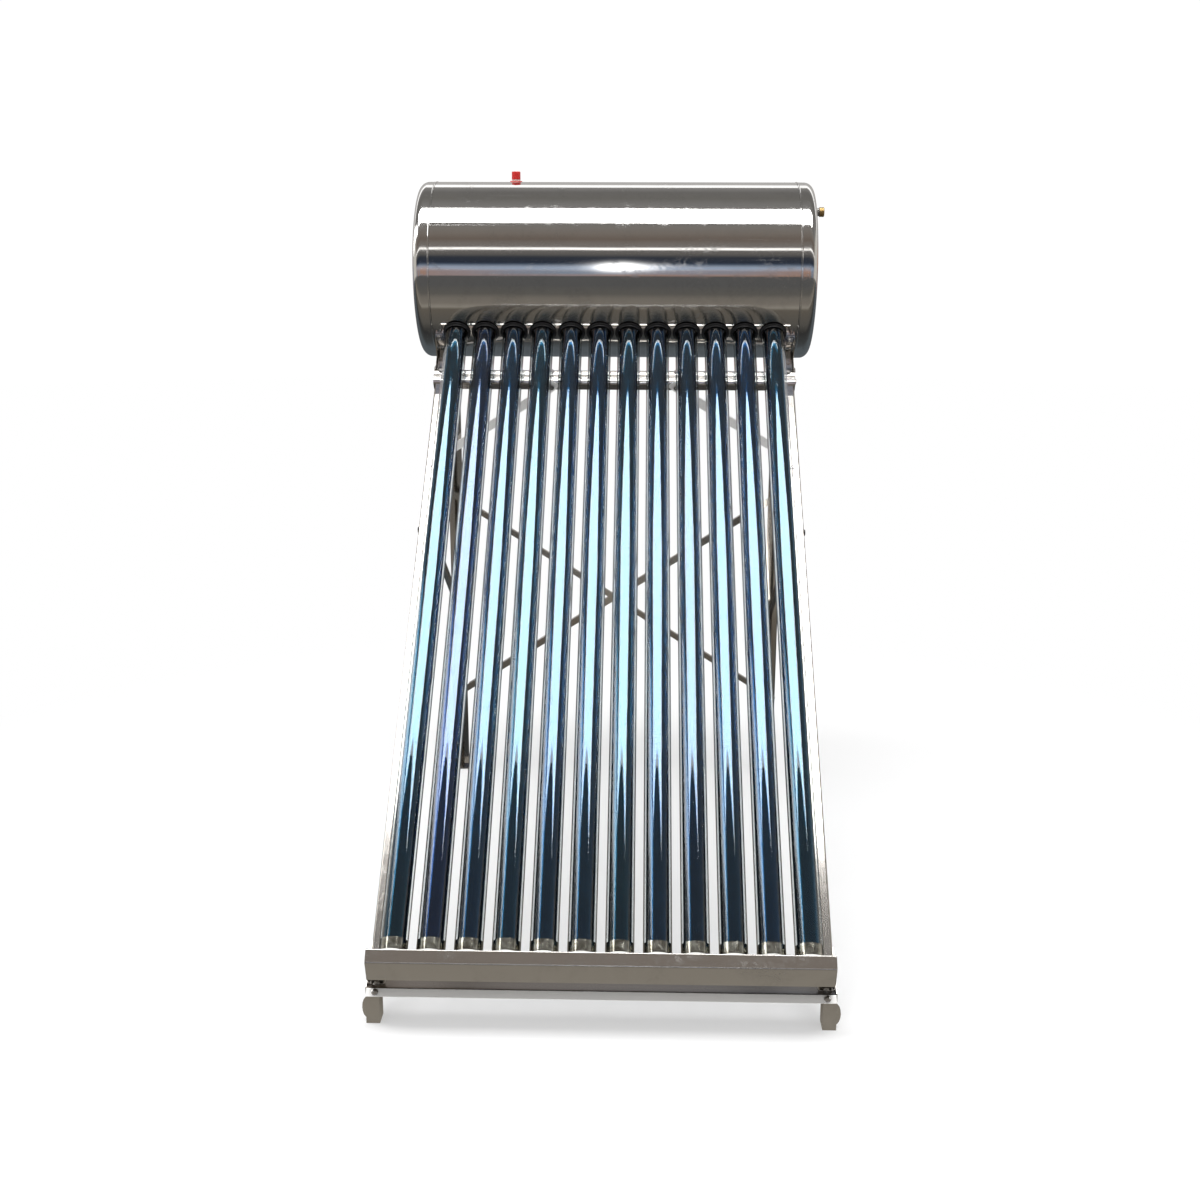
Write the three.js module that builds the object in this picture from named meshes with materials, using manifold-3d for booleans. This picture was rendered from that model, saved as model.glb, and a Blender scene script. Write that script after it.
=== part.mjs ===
// Thermosiphon solar water heater: a horizontal insulated tank on a stainless stand, with twelve evacuated
// glass tubes that hang from the tank and rest in a tray at the foot of the stand.
//
// Units are millimetres, +Z is up, the tubes face -Y, and the origin is on the floor under the middle of the
// whole outline. Most of the model is worked out from the tank's axis. The group called collector is tilted:
// in it +Y points up the tubes, towards the tank, and +Z points out of the plane of the tubes.

import * as THREE from "three";
import { mergeVertices } from "three/addons/utils/BufferGeometryUtils.js";
import Module from "manifold-3d";

const wasm = await Module();
wasm.setup();

// ---- Driving dimensions ----

const TILT = THREE.MathUtils.degToRad(42);
const TANK_AXIS_HEIGHT = 1446;
const FIT_GAP = 0.4;

// Tubes. Distances called FROM_AXIS are measured down the tubes from the tank's axis.
const TUBE_COUNT = 12;
const TUBE_PITCH = 75;
const TUBE_RADIUS = 29;
const TUBE_LENGTH = 1800;
const GLASS_WALL = 1.8;
const ABSORBER_RADIUS = 23.5;
const ABSORBER_WALL = 1.6;
const TAIL_DOME_FROM_AXIS = 1938;
const TAIL_TIP = 6;
const TUBE_SIDES = 14;

// Tank.
const SHELL_RADIUS = 230;
const SHELL_HALF_LENGTH = 475;
const SHEET = 1;
const TANK_HALF_LENGTH = 520;
const CAP_EDGE_RADIUS = 24;
const INNER_RADIUS = 185;
const INNER_HALF_LENGTH = 486;
const INNER_WALL = 1.5;
const TANK_SIDES = 40;
const VESSEL_SIDES = 28;
const HOLE_SIDES = 12;
const PORT_RADIUS = 10.5;
const PORT_BORE = 8;

// Dust rings.
const RING_OUTER_RADIUS = 36;
const RING_NECK_RADIUS = 32.3;
const SHELL_HOLE_RADIUS = 34.2;

// Vent on top of the tank and capped port on the right end.
const VENT_X = -267;
const VENT_TOP = 248;
const VENT_CAP_RADIUS = 11.5;
const VENT_CAP_FROM = 236;
const VENT_CAP_TO = 257;
const SIDE_PORT_Y = -45;
const SIDE_PORT_Z = 153.5;
const SIDE_PORT_END = 545;
const BRASS_CAP_RADIUS = 12.5;
const BRASS_CAP_FROM = 536;
const BRASS_CAP_TO = 548.5;
const WATER_PORT_X = 330;
const WATER_PORT_Z = -70;
const WATER_PORT_END = 262;

// Stand. Half widths are measured from the stand's middle plane.
const FRAME_HALF_WIDTH = 467;
const POST_WIDTH = 35;
const POST_DEPTH = 38;
const POST_SHEET = 1.8;
const RAIL_FRONT = -62;
const RAIL_TOP_FROM_AXIS = 229;
const RAIL_FOOT_Z = -1366;
const LEG_LEAN = THREE.MathUtils.degToRad(3);
const LEG_FRONT_AT_TOP = -1;
const LEG_TOP_Z = -246;
const LEG_LIP = 16;
const SIDE_PLATE = 2.3;

// ---- Materials ----

function metal(color, roughness) {
  return new THREE.MeshStandardMaterial({ color, roughness, metalness: 1 });
}

function nonMetal(color, roughness, opacity = 1) {
  return new THREE.MeshStandardMaterial({ color, roughness, opacity, transparent: opacity < 1 });
}

const polishedSteel = metal(0xc9c7c3, 0.12);
const standSteel = metal(0xbdb9b2, 0.22);
const innerSteel = metal(0xb4b4b2, 0.4);
const brass = metal(0xb58a45, 0.35);
const clearGlass = nonMetal(0xcfdde2, 0.05, 0.35);
const absorberCoating = nonMetal(0x16263f, 0.25);
const blackRubber = nonMetal(0x1d1d1c, 0.7);
const redPlastic = nonMetal(0xc8201f, 0.4);
const foam = nonMetal(0xe3cf9b, 0.9);

// ---- Geometry helpers ----

const X_AXIS = new THREE.Vector3(1, 0, 0);
const Y_AXIS = new THREE.Vector3(0, 1, 0);
const Z_AXIS = new THREE.Vector3(0, 0, 1);

// Places a geometry whose own x and y axes are to lie along two given directions.
function place(geometry, origin, alongX, alongY) {
  const basis = new THREE.Matrix4().makeBasis(
    alongX,
    alongY,
    new THREE.Vector3().crossVectors(alongX, alongY),
  );
  return geometry.applyMatrix4(basis).translate(origin.x, origin.y, origin.z);
}

// Extrudes an outline, given as [a, b] points along two directions, by depth along their cross product.
function prism(outline, depth, origin, alongA, alongB) {
  const shape = outline instanceof THREE.Shape ? outline : new THREE.Shape(toPoints(outline));
  const geometry = new THREE.ExtrudeGeometry(shape, { depth, bevelEnabled: false, curveSegments: 10 });
  return place(geometry, origin, alongA, alongB);
}

function toPoints(pairs) {
  return pairs.map(([a, b]) => new THREE.Vector2(a, b));
}

// Extrudes an outline of [y, z] points between two x values.
function slab(outline, xFrom, xTo) {
  return prism(outline, xTo - xFrom, new THREE.Vector3(xFrom, 0, 0), Y_AXIS, Z_AXIS);
}

function box(low, high) {
  const size = high.map((value, i) => value - low[i]);
  const centre = high.map((value, i) => (value + low[i]) / 2);
  return new THREE.BoxGeometry(...size).translate(...centre);
}

// Outline of a folded sheet: the fold line, then the same line moved sideways by the sheet's thickness.
function foldedSheet(line, thickness) {
  const points = toPoints(line);
  const sideways = points.map((point, i) => {
    const before = points[Math.max(i - 1, 0)];
    const after = points[Math.min(i + 1, points.length - 1)];
    const normalIn = point === before ? null : leftOf(before, point);
    const normalOut = point === after ? null : leftOf(point, after);
    const mitre = (normalIn ?? normalOut).clone().add(normalOut ?? normalIn).normalize();
    return point.clone().addScaledVector(mitre, thickness / mitre.dot(normalIn ?? normalOut));
  });
  return new THREE.Shape([...points, ...sideways.reverse()]);
}

function leftOf(from, to) {
  const along = to.clone().sub(from).normalize();
  return new THREE.Vector2(-along.y, along.x);
}

function lathe(profile, sides) {
  return new THREE.LatheGeometry(toPoints(profile), sides);
}

// A body of revolution about the tank's axis, from [radius, x] points.
function turnedOnX(profile, sides) {
  return place(lathe(profile, sides), new THREE.Vector3(), Y_AXIS, X_AXIS);
}

function rod(radius, from, to, sides = HOLE_SIDES) {
  const along = to.clone().sub(from);
  const geometry = new THREE.CylinderGeometry(radius, radius, along.length(), sides);
  geometry.applyQuaternion(new THREE.Quaternion().setFromUnitVectors(Y_AXIS, along.clone().normalize()));
  const middle = from.clone().addScaledVector(along, 0.5);
  return geometry.translate(middle.x, middle.y, middle.z);
}

// ---- Joining and cutting ----

function toSolid(geometry) {
  const bare = geometry.clone();
  bare.deleteAttribute("normal");
  bare.deleteAttribute("uv");
  const merged = mergeVertices(bare, 1e-3);
  const mesh = new wasm.Mesh({
    numProp: 3,
    vertProperties: merged.attributes.position.array,
    triVerts: new Uint32Array(merged.index.array),
  });
  return new wasm.Manifold(mesh);
}

function toGeometry(solid) {
  const { vertProperties, triVerts } = solid.getMesh();
  const geometry = new THREE.BufferGeometry();
  geometry.setAttribute("position", new THREE.BufferAttribute(vertProperties, 3));
  geometry.setIndex(new THREE.BufferAttribute(triVerts, 1));
  const flat = geometry.toNonIndexed();
  flat.computeVertexNormals();
  return flat;
}

function join(...geometries) {
  return toGeometry(geometries.map(toSolid).reduce((all, solid) => all.add(solid)));
}

function cut(geometry, ...cutters) {
  return toGeometry(cutters.map(toSolid).reduce((rest, cutter) => rest.subtract(cutter), toSolid(geometry)));
}

// ---- Scene graph ----

const heater = new THREE.Group();
const tank = new THREE.Group();
const collector = new THREE.Group();
collector.rotation.x = TILT;
tank.add(collector);
heater.add(tank);

function addPiece(group, name, geometry, material) {
  const mesh = new THREE.Mesh(geometry, material);
  mesh.name = name;
  group.add(mesh);
  return mesh;
}

const SIDES = [
  ["left", -1],
  ["right", 1],
];

// An x range given by distances from the middle plane, on one side of it.
function outboard(side, near, far) {
  return side > 0 ? [near, far] : [-far, -near];
}

// Turns a point given as [across, down the tubes, out of the tube plane] into the tank's upright frame.
function fromCollector(across, down, out) {
  return new THREE.Vector3(across, -down, out).applyAxisAngle(X_AXIS, TILT);
}

// The same for an outline in the upright frame's y and z.
function sideOutline(pairs) {
  return pairs.map(([down, out]) => {
    const point = fromCollector(0, down, out);
    return [point.y, point.z];
  });
}

function tubeX(index) {
  return (index - (TUBE_COUNT - 1) / 2) * TUBE_PITCH;
}

const tubeIndexes = Array.from({ length: TUBE_COUNT }, (_, index) => index);
const TUBE_MOUTH_FROM_AXIS = TAIL_DOME_FROM_AXIS + TUBE_RADIUS + TAIL_TIP - TUBE_LENGTH;

// ---- Evacuated tubes and their dust rings ----

// Points of a round tube end, from the wall to the axis or back.
function dome(radius, centre, fromDegrees, toDegrees, steps) {
  return Array.from({ length: steps + 1 }, (_, i) => {
    const angle = THREE.MathUtils.degToRad(fromDegrees + ((toDegrees - fromDegrees) * i) / steps);
    return [radius * Math.sin(angle), centre - radius * Math.cos(angle)];
  });
}

function outerTubeGeometry() {
  const inside = TUBE_RADIUS - GLASS_WALL;
  const tail = -TAIL_DOME_FROM_AXIS;
  const mouth = -TUBE_MOUTH_FROM_AXIS;
  const lip = ABSORBER_RADIUS + FIT_GAP + 0.2;
  return lathe(
    [
      [0, tail - TUBE_RADIUS - TAIL_TIP],
      [3.2, tail - TUBE_RADIUS - 4],
      [6, tail - TUBE_RADIUS + 0.5],
      ...dome(TUBE_RADIUS, tail, 30, 90, 2),
      [TUBE_RADIUS, mouth - 2],
      [TUBE_RADIUS - 2, mouth],
      [lip, mouth - 1],
      [lip, mouth - 2.5],
      [inside, mouth - 5],
      ...dome(inside, tail, 90, 0, 3),
    ],
    TUBE_SIDES,
  );
}

function absorberGeometry() {
  const tail = -TAIL_DOME_FROM_AXIS + 16;
  const mouth = -TUBE_MOUTH_FROM_AXIS - 1.3;
  return lathe(
    [
      ...dome(ABSORBER_RADIUS, tail, 0, 90, 2),
      [ABSORBER_RADIUS, mouth],
      [ABSORBER_RADIUS - ABSORBER_WALL, mouth],
      ...dome(ABSORBER_RADIUS - ABSORBER_WALL, tail, 90, 0, 2),
    ],
    TUBE_SIDES,
  );
}

function dustRingGeometry() {
  const bore = TUBE_RADIUS + FIT_GAP;
  const seat = -(SHELL_RADIUS + 0.6);
  const ring = [
    [bore, seat - 7],
    [bore + 1.8, seat - 7],
    [RING_OUTER_RADIUS, seat - 3],
    [RING_OUTER_RADIUS, seat],
    [RING_NECK_RADIUS, seat],
    [RING_NECK_RADIUS, seat + 6.6],
    [bore, seat + 6.6],
    [bore, seat - 7],
  ];
  return lathe(ring, TUBE_SIDES);
}

for (const index of tubeIndexes) {
  const number = String(index + 1).padStart(2, "0");
  const pieces = [
    addPiece(collector, "outer_glass_tube_" + number, outerTubeGeometry(), clearGlass),
    addPiece(collector, "absorber_tube_" + number, absorberGeometry(), absorberCoating),
    addPiece(collector, "dust_ring_" + number, dustRingGeometry(), blackRubber),
  ];
  pieces.forEach((piece) => piece.position.setX(tubeX(index)));
}

// ---- Tank ----

// Straight cutters along the tubes, one for each, between two distances from the tank's axis.
function tubeDrills(radius, from, to) {
  return tubeIndexes.map((index) =>
    rod(radius, fromCollector(tubeX(index), from, 0), fromCollector(tubeX(index), to, 0)),
  );
}

function ventRod(radius, zFrom, zTo) {
  return rod(radius, new THREE.Vector3(VENT_X, 0, zFrom), new THREE.Vector3(VENT_X, 0, zTo));
}

function sidePortRod(radius, xFrom, xTo) {
  const from = new THREE.Vector3(xFrom, SIDE_PORT_Y, SIDE_PORT_Z);
  return rod(radius, from, from.clone().setX(xTo));
}

function waterPortRods(radius, yFrom, yTo) {
  return SIDES.map(([, side]) => {
    const from = new THREE.Vector3(side * WATER_PORT_X, yFrom, WATER_PORT_Z);
    return rod(radius, from, from.clone().setY(yTo));
  });
}

function cylinderProfile(radius, halfLength) {
  return [
    [0, -halfLength],
    [radius, -halfLength],
    [radius, halfLength],
    [0, halfLength],
  ];
}

// The pressure-free vessel has dished ends: a knuckle, then a shallow crown.
function vesselProfile(inset) {
  const radius = INNER_RADIUS - inset;
  const end = INNER_HALF_LENGTH - inset;
  const half = [
    [radius, end - 38],
    [radius - 12, end - 16],
    [radius - 60, end - 4],
    [0, end],
  ];
  return [...half.map(([r, x]) => [r, -x]).reverse(), ...half];
}

function innerTankGeometry() {
  const skin = INNER_RADIUS - 8;
  const body = join(
    turnedOnX(vesselProfile(0), VESSEL_SIDES),
    ventRod(PORT_RADIUS, skin, VENT_TOP),
    sidePortRod(PORT_RADIUS, INNER_HALF_LENGTH - 40, SIDE_PORT_END),
    ...waterPortRods(PORT_RADIUS, skin - 20, WATER_PORT_END),
  );
  return cut(
    body,
    turnedOnX(vesselProfile(INNER_WALL), VESSEL_SIDES),
    ventRod(PORT_BORE, skin - 20, VENT_TOP + 1),
    sidePortRod(PORT_BORE, INNER_HALF_LENGTH - 60, SIDE_PORT_END + 1),
    ...waterPortRods(PORT_BORE, skin - 40, WATER_PORT_END + 1),
    ...tubeDrills(TUBE_RADIUS + 2.2, INNER_RADIUS - 20, INNER_RADIUS + 20),
  );
}

function insulationGeometry() {
  const outer = SHELL_RADIUS - SHEET - 2.4;
  const end = TANK_HALF_LENGTH - 8;
  const half = [
    [outer, TANK_HALF_LENGTH - CAP_EDGE_RADIUS],
    [outer - 9, end - 1.5],
    [outer - 26, end],
    [0, end],
  ];
  return cut(
    turnedOnX([...half.map(([r, x]) => [r, -x]).reverse(), ...half], TANK_SIDES),
    turnedOnX(vesselProfile(-FIT_GAP), VESSEL_SIDES),
    ventRod(PORT_RADIUS + FIT_GAP, INNER_RADIUS - 20, SHELL_RADIUS + 5),
    sidePortRod(PORT_RADIUS + FIT_GAP, INNER_HALF_LENGTH - 60, TANK_HALF_LENGTH),
    ...waterPortRods(PORT_RADIUS + FIT_GAP, INNER_RADIUS - 40, SHELL_RADIUS + 5),
    ...tubeDrills(SHELL_HOLE_RADIUS, INNER_RADIUS - 20, SHELL_RADIUS + 5),
  );
}

function tankShellGeometry() {
  return cut(
    turnedOnX(cylinderProfile(SHELL_RADIUS, SHELL_HALF_LENGTH), TANK_SIDES),
    turnedOnX(cylinderProfile(SHELL_RADIUS - SHEET, SHELL_HALF_LENGTH + 1), TANK_SIDES),
    ventRod(PORT_RADIUS + 1.5, SHELL_RADIUS - 10, SHELL_RADIUS + 5),
    ...waterPortRods(PORT_RADIUS + 1.5, SHELL_RADIUS - 40, SHELL_RADIUS + 5),
    ...tubeDrills(SHELL_HOLE_RADIUS, SHELL_RADIUS - 20, SHELL_RADIUS + 5),
  );
}

// A pressed cap with a rounded edge, a sunken middle and a skirt that slips inside the shell.
function endCapGeometry() {
  const skirt = SHELL_RADIUS - SHEET - FIT_GAP;
  const seam = SHELL_HALF_LENGTH + FIT_GAP;
  const corner = [TANK_HALF_LENGTH - CAP_EDGE_RADIUS, SHELL_RADIUS - CAP_EDGE_RADIUS];
  const edge = (radius, degrees) => {
    const angle = THREE.MathUtils.degToRad(degrees);
    return [corner[1] + radius * Math.cos(angle), corner[0] + radius * Math.sin(angle)];
  };
  const outside = [
    [skirt, seam - 12],
    [skirt, seam],
    [SHELL_RADIUS + 1.2, seam],
    [SHELL_RADIUS + 1.2, seam + 4],
    ...[0, 30, 60, 90].map((degrees) => edge(CAP_EDGE_RADIUS, degrees)),
    [150, TANK_HALF_LENGTH],
    [142, TANK_HALF_LENGTH - 5],
    [0, TANK_HALF_LENGTH - 5],
  ];
  const inside = [
    [0, TANK_HALF_LENGTH - 5 - SHEET],
    [142, TANK_HALF_LENGTH - 5 - SHEET],
    [150, TANK_HALF_LENGTH - SHEET],
    ...[90, 45, 0].map((degrees) => edge(CAP_EDGE_RADIUS - SHEET, degrees)),
    [skirt - SHEET, seam + 2],
    [skirt - SHEET, seam - 12],
  ];
  return turnedOnX([...inside, ...outside], TANK_SIDES);
}

function ventCapGeometry() {
  const bore = PORT_RADIUS + FIT_GAP;
  return lathe(
    [
      [0, VENT_CAP_TO - 3],
      [bore, VENT_CAP_TO - 3],
      [bore, VENT_CAP_FROM],
      [VENT_CAP_RADIUS, VENT_CAP_FROM],
      [VENT_CAP_RADIUS, VENT_CAP_TO - 2],
      [VENT_CAP_RADIUS - 2, VENT_CAP_TO],
      [0, VENT_CAP_TO],
    ],
    16,
  );
}

function brassCapGeometry() {
  const bore = PORT_RADIUS + FIT_GAP;
  return turnedOnX(
    [
      [0, BRASS_CAP_TO - 2],
      [bore, BRASS_CAP_TO - 2],
      [bore, BRASS_CAP_FROM],
      [BRASS_CAP_RADIUS, BRASS_CAP_FROM],
      [BRASS_CAP_RADIUS, BRASS_CAP_TO - 1.5],
      [BRASS_CAP_RADIUS - 1.5, BRASS_CAP_TO],
      [0, BRASS_CAP_TO],
    ],
    16,
  );
}

addPiece(tank, "inner_tank", innerTankGeometry(), innerSteel);
addPiece(tank, "tank_insulation", insulationGeometry(), foam);
addPiece(tank, "tank_shell", tankShellGeometry(), polishedSteel);

const leftCap = addPiece(tank, "end_cap_left", endCapGeometry(), polishedSteel);
leftCap.rotation.z = Math.PI;
const rightCapGeometry = cut(
  endCapGeometry(),
  sidePortRod(PORT_RADIUS + 1.5, TANK_HALF_LENGTH - 20, TANK_HALF_LENGTH + 5),
);
addPiece(tank, "end_cap_right", rightCapGeometry, polishedSteel);

const ventCapMesh = addPiece(tank, "red_vent_cap", ventCapGeometry(), redPlastic);
ventCapMesh.rotation.x = Math.PI / 2;
ventCapMesh.position.setX(VENT_X);
addPiece(tank, "brass_port_cap", brassCapGeometry(), brass).position.set(0, SIDE_PORT_Y, SIDE_PORT_Z);

// ---- Stand: rails and legs ----

// Front rails are channels that are open at the back.
function railGeometry(side) {
  const outer = side * FRAME_HALF_WIDTH;
  const inner = side * (FRAME_HALF_WIDTH - POST_WIDTH);
  const [low, high] = [Math.min(outer, inner), Math.max(outer, inner)];
  const back = RAIL_FRONT - POST_DEPTH;
  const section = foldedSheet(
    [
      [low, back],
      [low, RAIL_FRONT],
      [high, RAIL_FRONT],
      [high, back],
    ],
    -POST_SHEET,
  );
  const top = fromCollector(0, RAIL_TOP_FROM_AXIS, 0);
  const post = prism(section, 2000 - RAIL_TOP_FROM_AXIS, top, X_AXIS, fromCollector(0, 0, 1));
  return cut(post, box([-600, -1700, RAIL_FOOT_Z - 200], [600, -1200, RAIL_FOOT_Z]));
}

for (const [name, side] of SIDES) {
  addPiece(tank, "front_rail_" + name, railGeometry(side), standSteel);
}

const legDown = new THREE.Vector3(0, Math.sin(LEG_LEAN), -Math.cos(LEG_LEAN));
const legBack = new THREE.Vector3(0, Math.cos(LEG_LEAN), Math.sin(LEG_LEAN));

// A point on a leg's front face at a given height, moved back by some distance square to that face.
function onLegFace(x, z, back = 0) {
  const y = LEG_FRONT_AT_TOP + (LEG_TOP_Z - z) * Math.tan(LEG_LEAN);
  return new THREE.Vector3(x, y, z).addScaledVector(legBack, back);
}

// Rear legs are channels that open inwards, with a narrow front lip and a wide back flange, on a sole plate.
function legGeometry(side) {
  const lip = FRAME_HALF_WIDTH - LEG_LIP;
  const inner = FRAME_HALF_WIDTH - POST_WIDTH;
  const fold = [
    [side * lip, 0],
    [side * FRAME_HALF_WIDTH, 0],
    [side * FRAME_HALF_WIDTH, POST_DEPTH],
    [side * inner, POST_DEPTH],
  ];
  const section = foldedSheet(fold, side * POST_SHEET);
  const foot = onLegFace(0, -TANK_AXIS_HEIGHT - 20);
  const post = prism(section, foot.distanceTo(onLegFace(0, LEG_TOP_Z)), foot, X_AXIS, legBack);
  const under = box([-600, -200, -TANK_AXIS_HEIGHT - 100], [600, 400, -TANK_AXIS_HEIGHT + 1]);
  const sole = onLegFace(side * (FRAME_HALF_WIDTH - 21), -TANK_AXIS_HEIGHT, POST_DEPTH / 2);
  const plate = box(
    [sole.x - 25, sole.y - 26, -TANK_AXIS_HEIGHT],
    [sole.x + 25, sole.y + 26, -TANK_AXIS_HEIGHT + 3],
  );
  return join(cut(post, under), plate);
}

for (const [name, side] of SIDES) {
  addPiece(tank, "rear_leg_" + name, legGeometry(side), standSteel);
}

// ---- Stand: tank cradles ----

// Points on the shell's underside are given by their angle from straight down, positive towards the front.
function underTank(radius, degrees) {
  const angle = THREE.MathUtils.degToRad(degrees);
  return [-radius * Math.sin(angle), -radius * Math.cos(angle)];
}

function arcUnderTank(radius, fromDegrees, toDegrees, steps) {
  return Array.from({ length: steps + 1 }, (_, i) =>
    underTank(radius, fromDegrees + ((toDegrees - fromDegrees) * i) / steps),
  );
}

function strapOutline(fromDegrees, toDegrees) {
  const inner = SHELL_RADIUS + 1.6;
  return [
    ...arcUnderTank(inner, fromDegrees, toDegrees, 14),
    ...arcUnderTank(inner + 2.5, toDegrees, fromDegrees, 14),
  ];
}

// A strap under the shell and a side plate that the rail and the leg are bolted to.
function cradleGeometry(side) {
  const inner = SHELL_RADIUS + 1.6;
  const front = RAIL_FRONT + 2;
  const back = RAIL_FRONT - POST_DEPTH - 2;
  const railTab = sideOutline([
    [292, back],
    [345, back],
    [345, front],
    [262, front],
  ]);
  const legTab = [
    [50, -275],
    [52, -345],
    [2, -345],
    [-4, -292],
  ];
  const plate = [
    ...arcUnderTank(inner, 46, -36, 16),
    underTank(inner + 14, -36),
    underTank(inner + 22, -22),
    ...legTab,
    ...railTab,
    underTank(inner + 14, 46),
  ];
  const plateInner = FRAME_HALF_WIDTH + FIT_GAP;
  const plateOuter = plateInner + SIDE_PLATE;
  return join(
    slab(plate, ...outboard(side, plateInner, plateOuter)),
    slab(strapOutline(35, -36), ...outboard(side, FRAME_HALF_WIDTH - POST_WIDTH, plateOuter)),
    slab(strapOutline(46, 30), ...outboard(side, FRAME_HALF_WIDTH - 16, plateOuter)),
  );
}

for (const [name, side] of SIDES) {
  addPiece(tank, "tank_cradle_" + name, cradleGeometry(side), standSteel);
}

// ---- Stand: cross member, braces ----

const CROSS_TOP_FROM_AXIS = 328;
const CROSS_FOOT_FROM_AXIS = 375;
const CROSS_FRONT = -34;
const CROSS_CREASE = 2.5;

// A channel that lies on the front of both rails, with a crease along the middle of its face.
function crossMemberGeometry() {
  const back = RAIL_FRONT + FIT_GAP;
  const middle = -(CROSS_TOP_FROM_AXIS + CROSS_FOOT_FROM_AXIS) / 2;
  const fold = [
    [-CROSS_FOOT_FROM_AXIS, back],
    [-CROSS_FOOT_FROM_AXIS, CROSS_FRONT - 6],
    [-CROSS_FOOT_FROM_AXIS + 6, CROSS_FRONT],
    [middle - 4, CROSS_FRONT],
    [middle, CROSS_FRONT - CROSS_CREASE],
    [middle + 4, CROSS_FRONT],
    [-CROSS_TOP_FROM_AXIS - 6, CROSS_FRONT],
    [-CROSS_TOP_FROM_AXIS, CROSS_FRONT - 6],
    [-CROSS_TOP_FROM_AXIS, back],
  ];
  return slab(foldedSheet(fold, -1.5), -FRAME_HALF_WIDTH, FRAME_HALF_WIDTH);
}

addPiece(collector, "upper_cross_member", crossMemberGeometry(), standSteel);

// A bar bolted under the cross member, folded down towards the leg, with a pad that lies on the leg's front lip.
function cornerBraceGeometry(side) {
  const width = 28;
  const thickness = 2.5;
  const bend = 38;
  const down = fromCollector(0, 1, 0);
  const start = fromCollector(side * 160, CROSS_FOOT_FROM_AXIS + FIT_GAP, RAIL_FRONT + 14);
  const run = onLegFace(side * (FRAME_HALF_WIDTH - 4), -492).sub(start);
  const across = new THREE.Vector3().crossVectors(down, run).normalize();
  const outward = new THREE.Vector3().crossVectors(across, down);
  const fold = [
    [-16, 0],
    [bend, 0],
    [run.dot(outward), -run.dot(down)],
  ];
  const corner = start.clone().addScaledVector(across, -width / 2);
  const bar = prism(foldedSheet(fold, -thickness), width, corner, outward, down.clone().negate());
  const legZone = prism(
    [
      [side * 420, -80],
      [side * 500, -80],
      [side * 500, 80],
      [side * 420, 80],
    ],
    80,
    onLegFace(0, -492, -FIT_GAP),
    X_AXIS,
    legDown,
  );
  const beyondFrame = slab(
    [
      [-200, -700],
      [200, -700],
      [200, -300],
      [-200, -300],
    ],
    ...outboard(side, FRAME_HALF_WIDTH, FRAME_HALF_WIDTH + 60),
  );
  const pad = prism(
    [
      [side * (FRAME_HALF_WIDTH - LEG_LIP), -20],
      [side * FRAME_HALF_WIDTH, -20],
      [side * FRAME_HALF_WIDTH, 20],
      [side * (FRAME_HALF_WIDTH - LEG_LIP), 20],
    ],
    thickness,
    onLegFace(0, -492, -FIT_GAP - thickness),
    X_AXIS,
    legDown,
  );
  return join(cut(bar, legZone, beyondFrame), pad);
}

for (const [name, side] of SIDES) {
  addPiece(tank, "corner_brace_" + name, cornerBraceGeometry(side), standSteel);
}

// Diagonal braces between the legs are angles. The one behind turns its flange back, so that they can cross.
const DIAGONAL_TOP_Z = -612;
const DIAGONAL_FOOT_Z = -1212;
const DIAGONAL_REACH = FRAME_HALF_WIDTH - 8;

function diagonalGeometry(leftZ, rightZ, standOff, flange) {
  const height = 18;
  const sheet = 1.8;
  const start = onLegFace(-DIAGONAL_REACH, leftZ, -standOff);
  const run = onLegFace(DIAGONAL_REACH, rightZ, -standOff).sub(start);
  const along = run.clone().normalize();
  const forward = legBack.clone().negate();
  const upward = new THREE.Vector3().crossVectors(forward, along);
  const web = [
    [-height / 2, 0],
    [height / 2, 0],
    [height / 2, sheet],
    [-height / 2, sheet],
  ];
  const rib = [
    [height / 2 - sheet, Math.min(0, flange)],
    [height / 2, Math.min(0, flange)],
    [height / 2, Math.max(sheet, flange)],
    [height / 2 - sheet, Math.max(sheet, flange)],
  ];
  const ribEnd = 48;
  const ribStart = start.clone().addScaledVector(along, ribEnd);
  return join(
    prism(web, run.length(), start, upward, forward),
    prism(rib, run.length() - 2 * ribEnd, ribStart, upward, forward),
  );
}

const frontDiagonal = diagonalGeometry(DIAGONAL_TOP_Z, DIAGONAL_FOOT_Z, 1.8 + 2 * FIT_GAP, 14);
addPiece(tank, "rear_diagonal_brace_front", frontDiagonal, standSteel);
const backDiagonal = diagonalGeometry(DIAGONAL_FOOT_Z, DIAGONAL_TOP_Z, FIT_GAP, -12);
addPiece(tank, "rear_diagonal_brace_back", backDiagonal, standSteel);

// Side braces are small channels, one on each side. The front end has a cleat for the rail's web, and the back
// end a tab for the leg's wide flange.
const SIDE_BRACE_HEIGHT = 26;
const SIDE_BRACE_WIDTH = 10;
const SIDE_BRACE_SHEET = 1.6;

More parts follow.
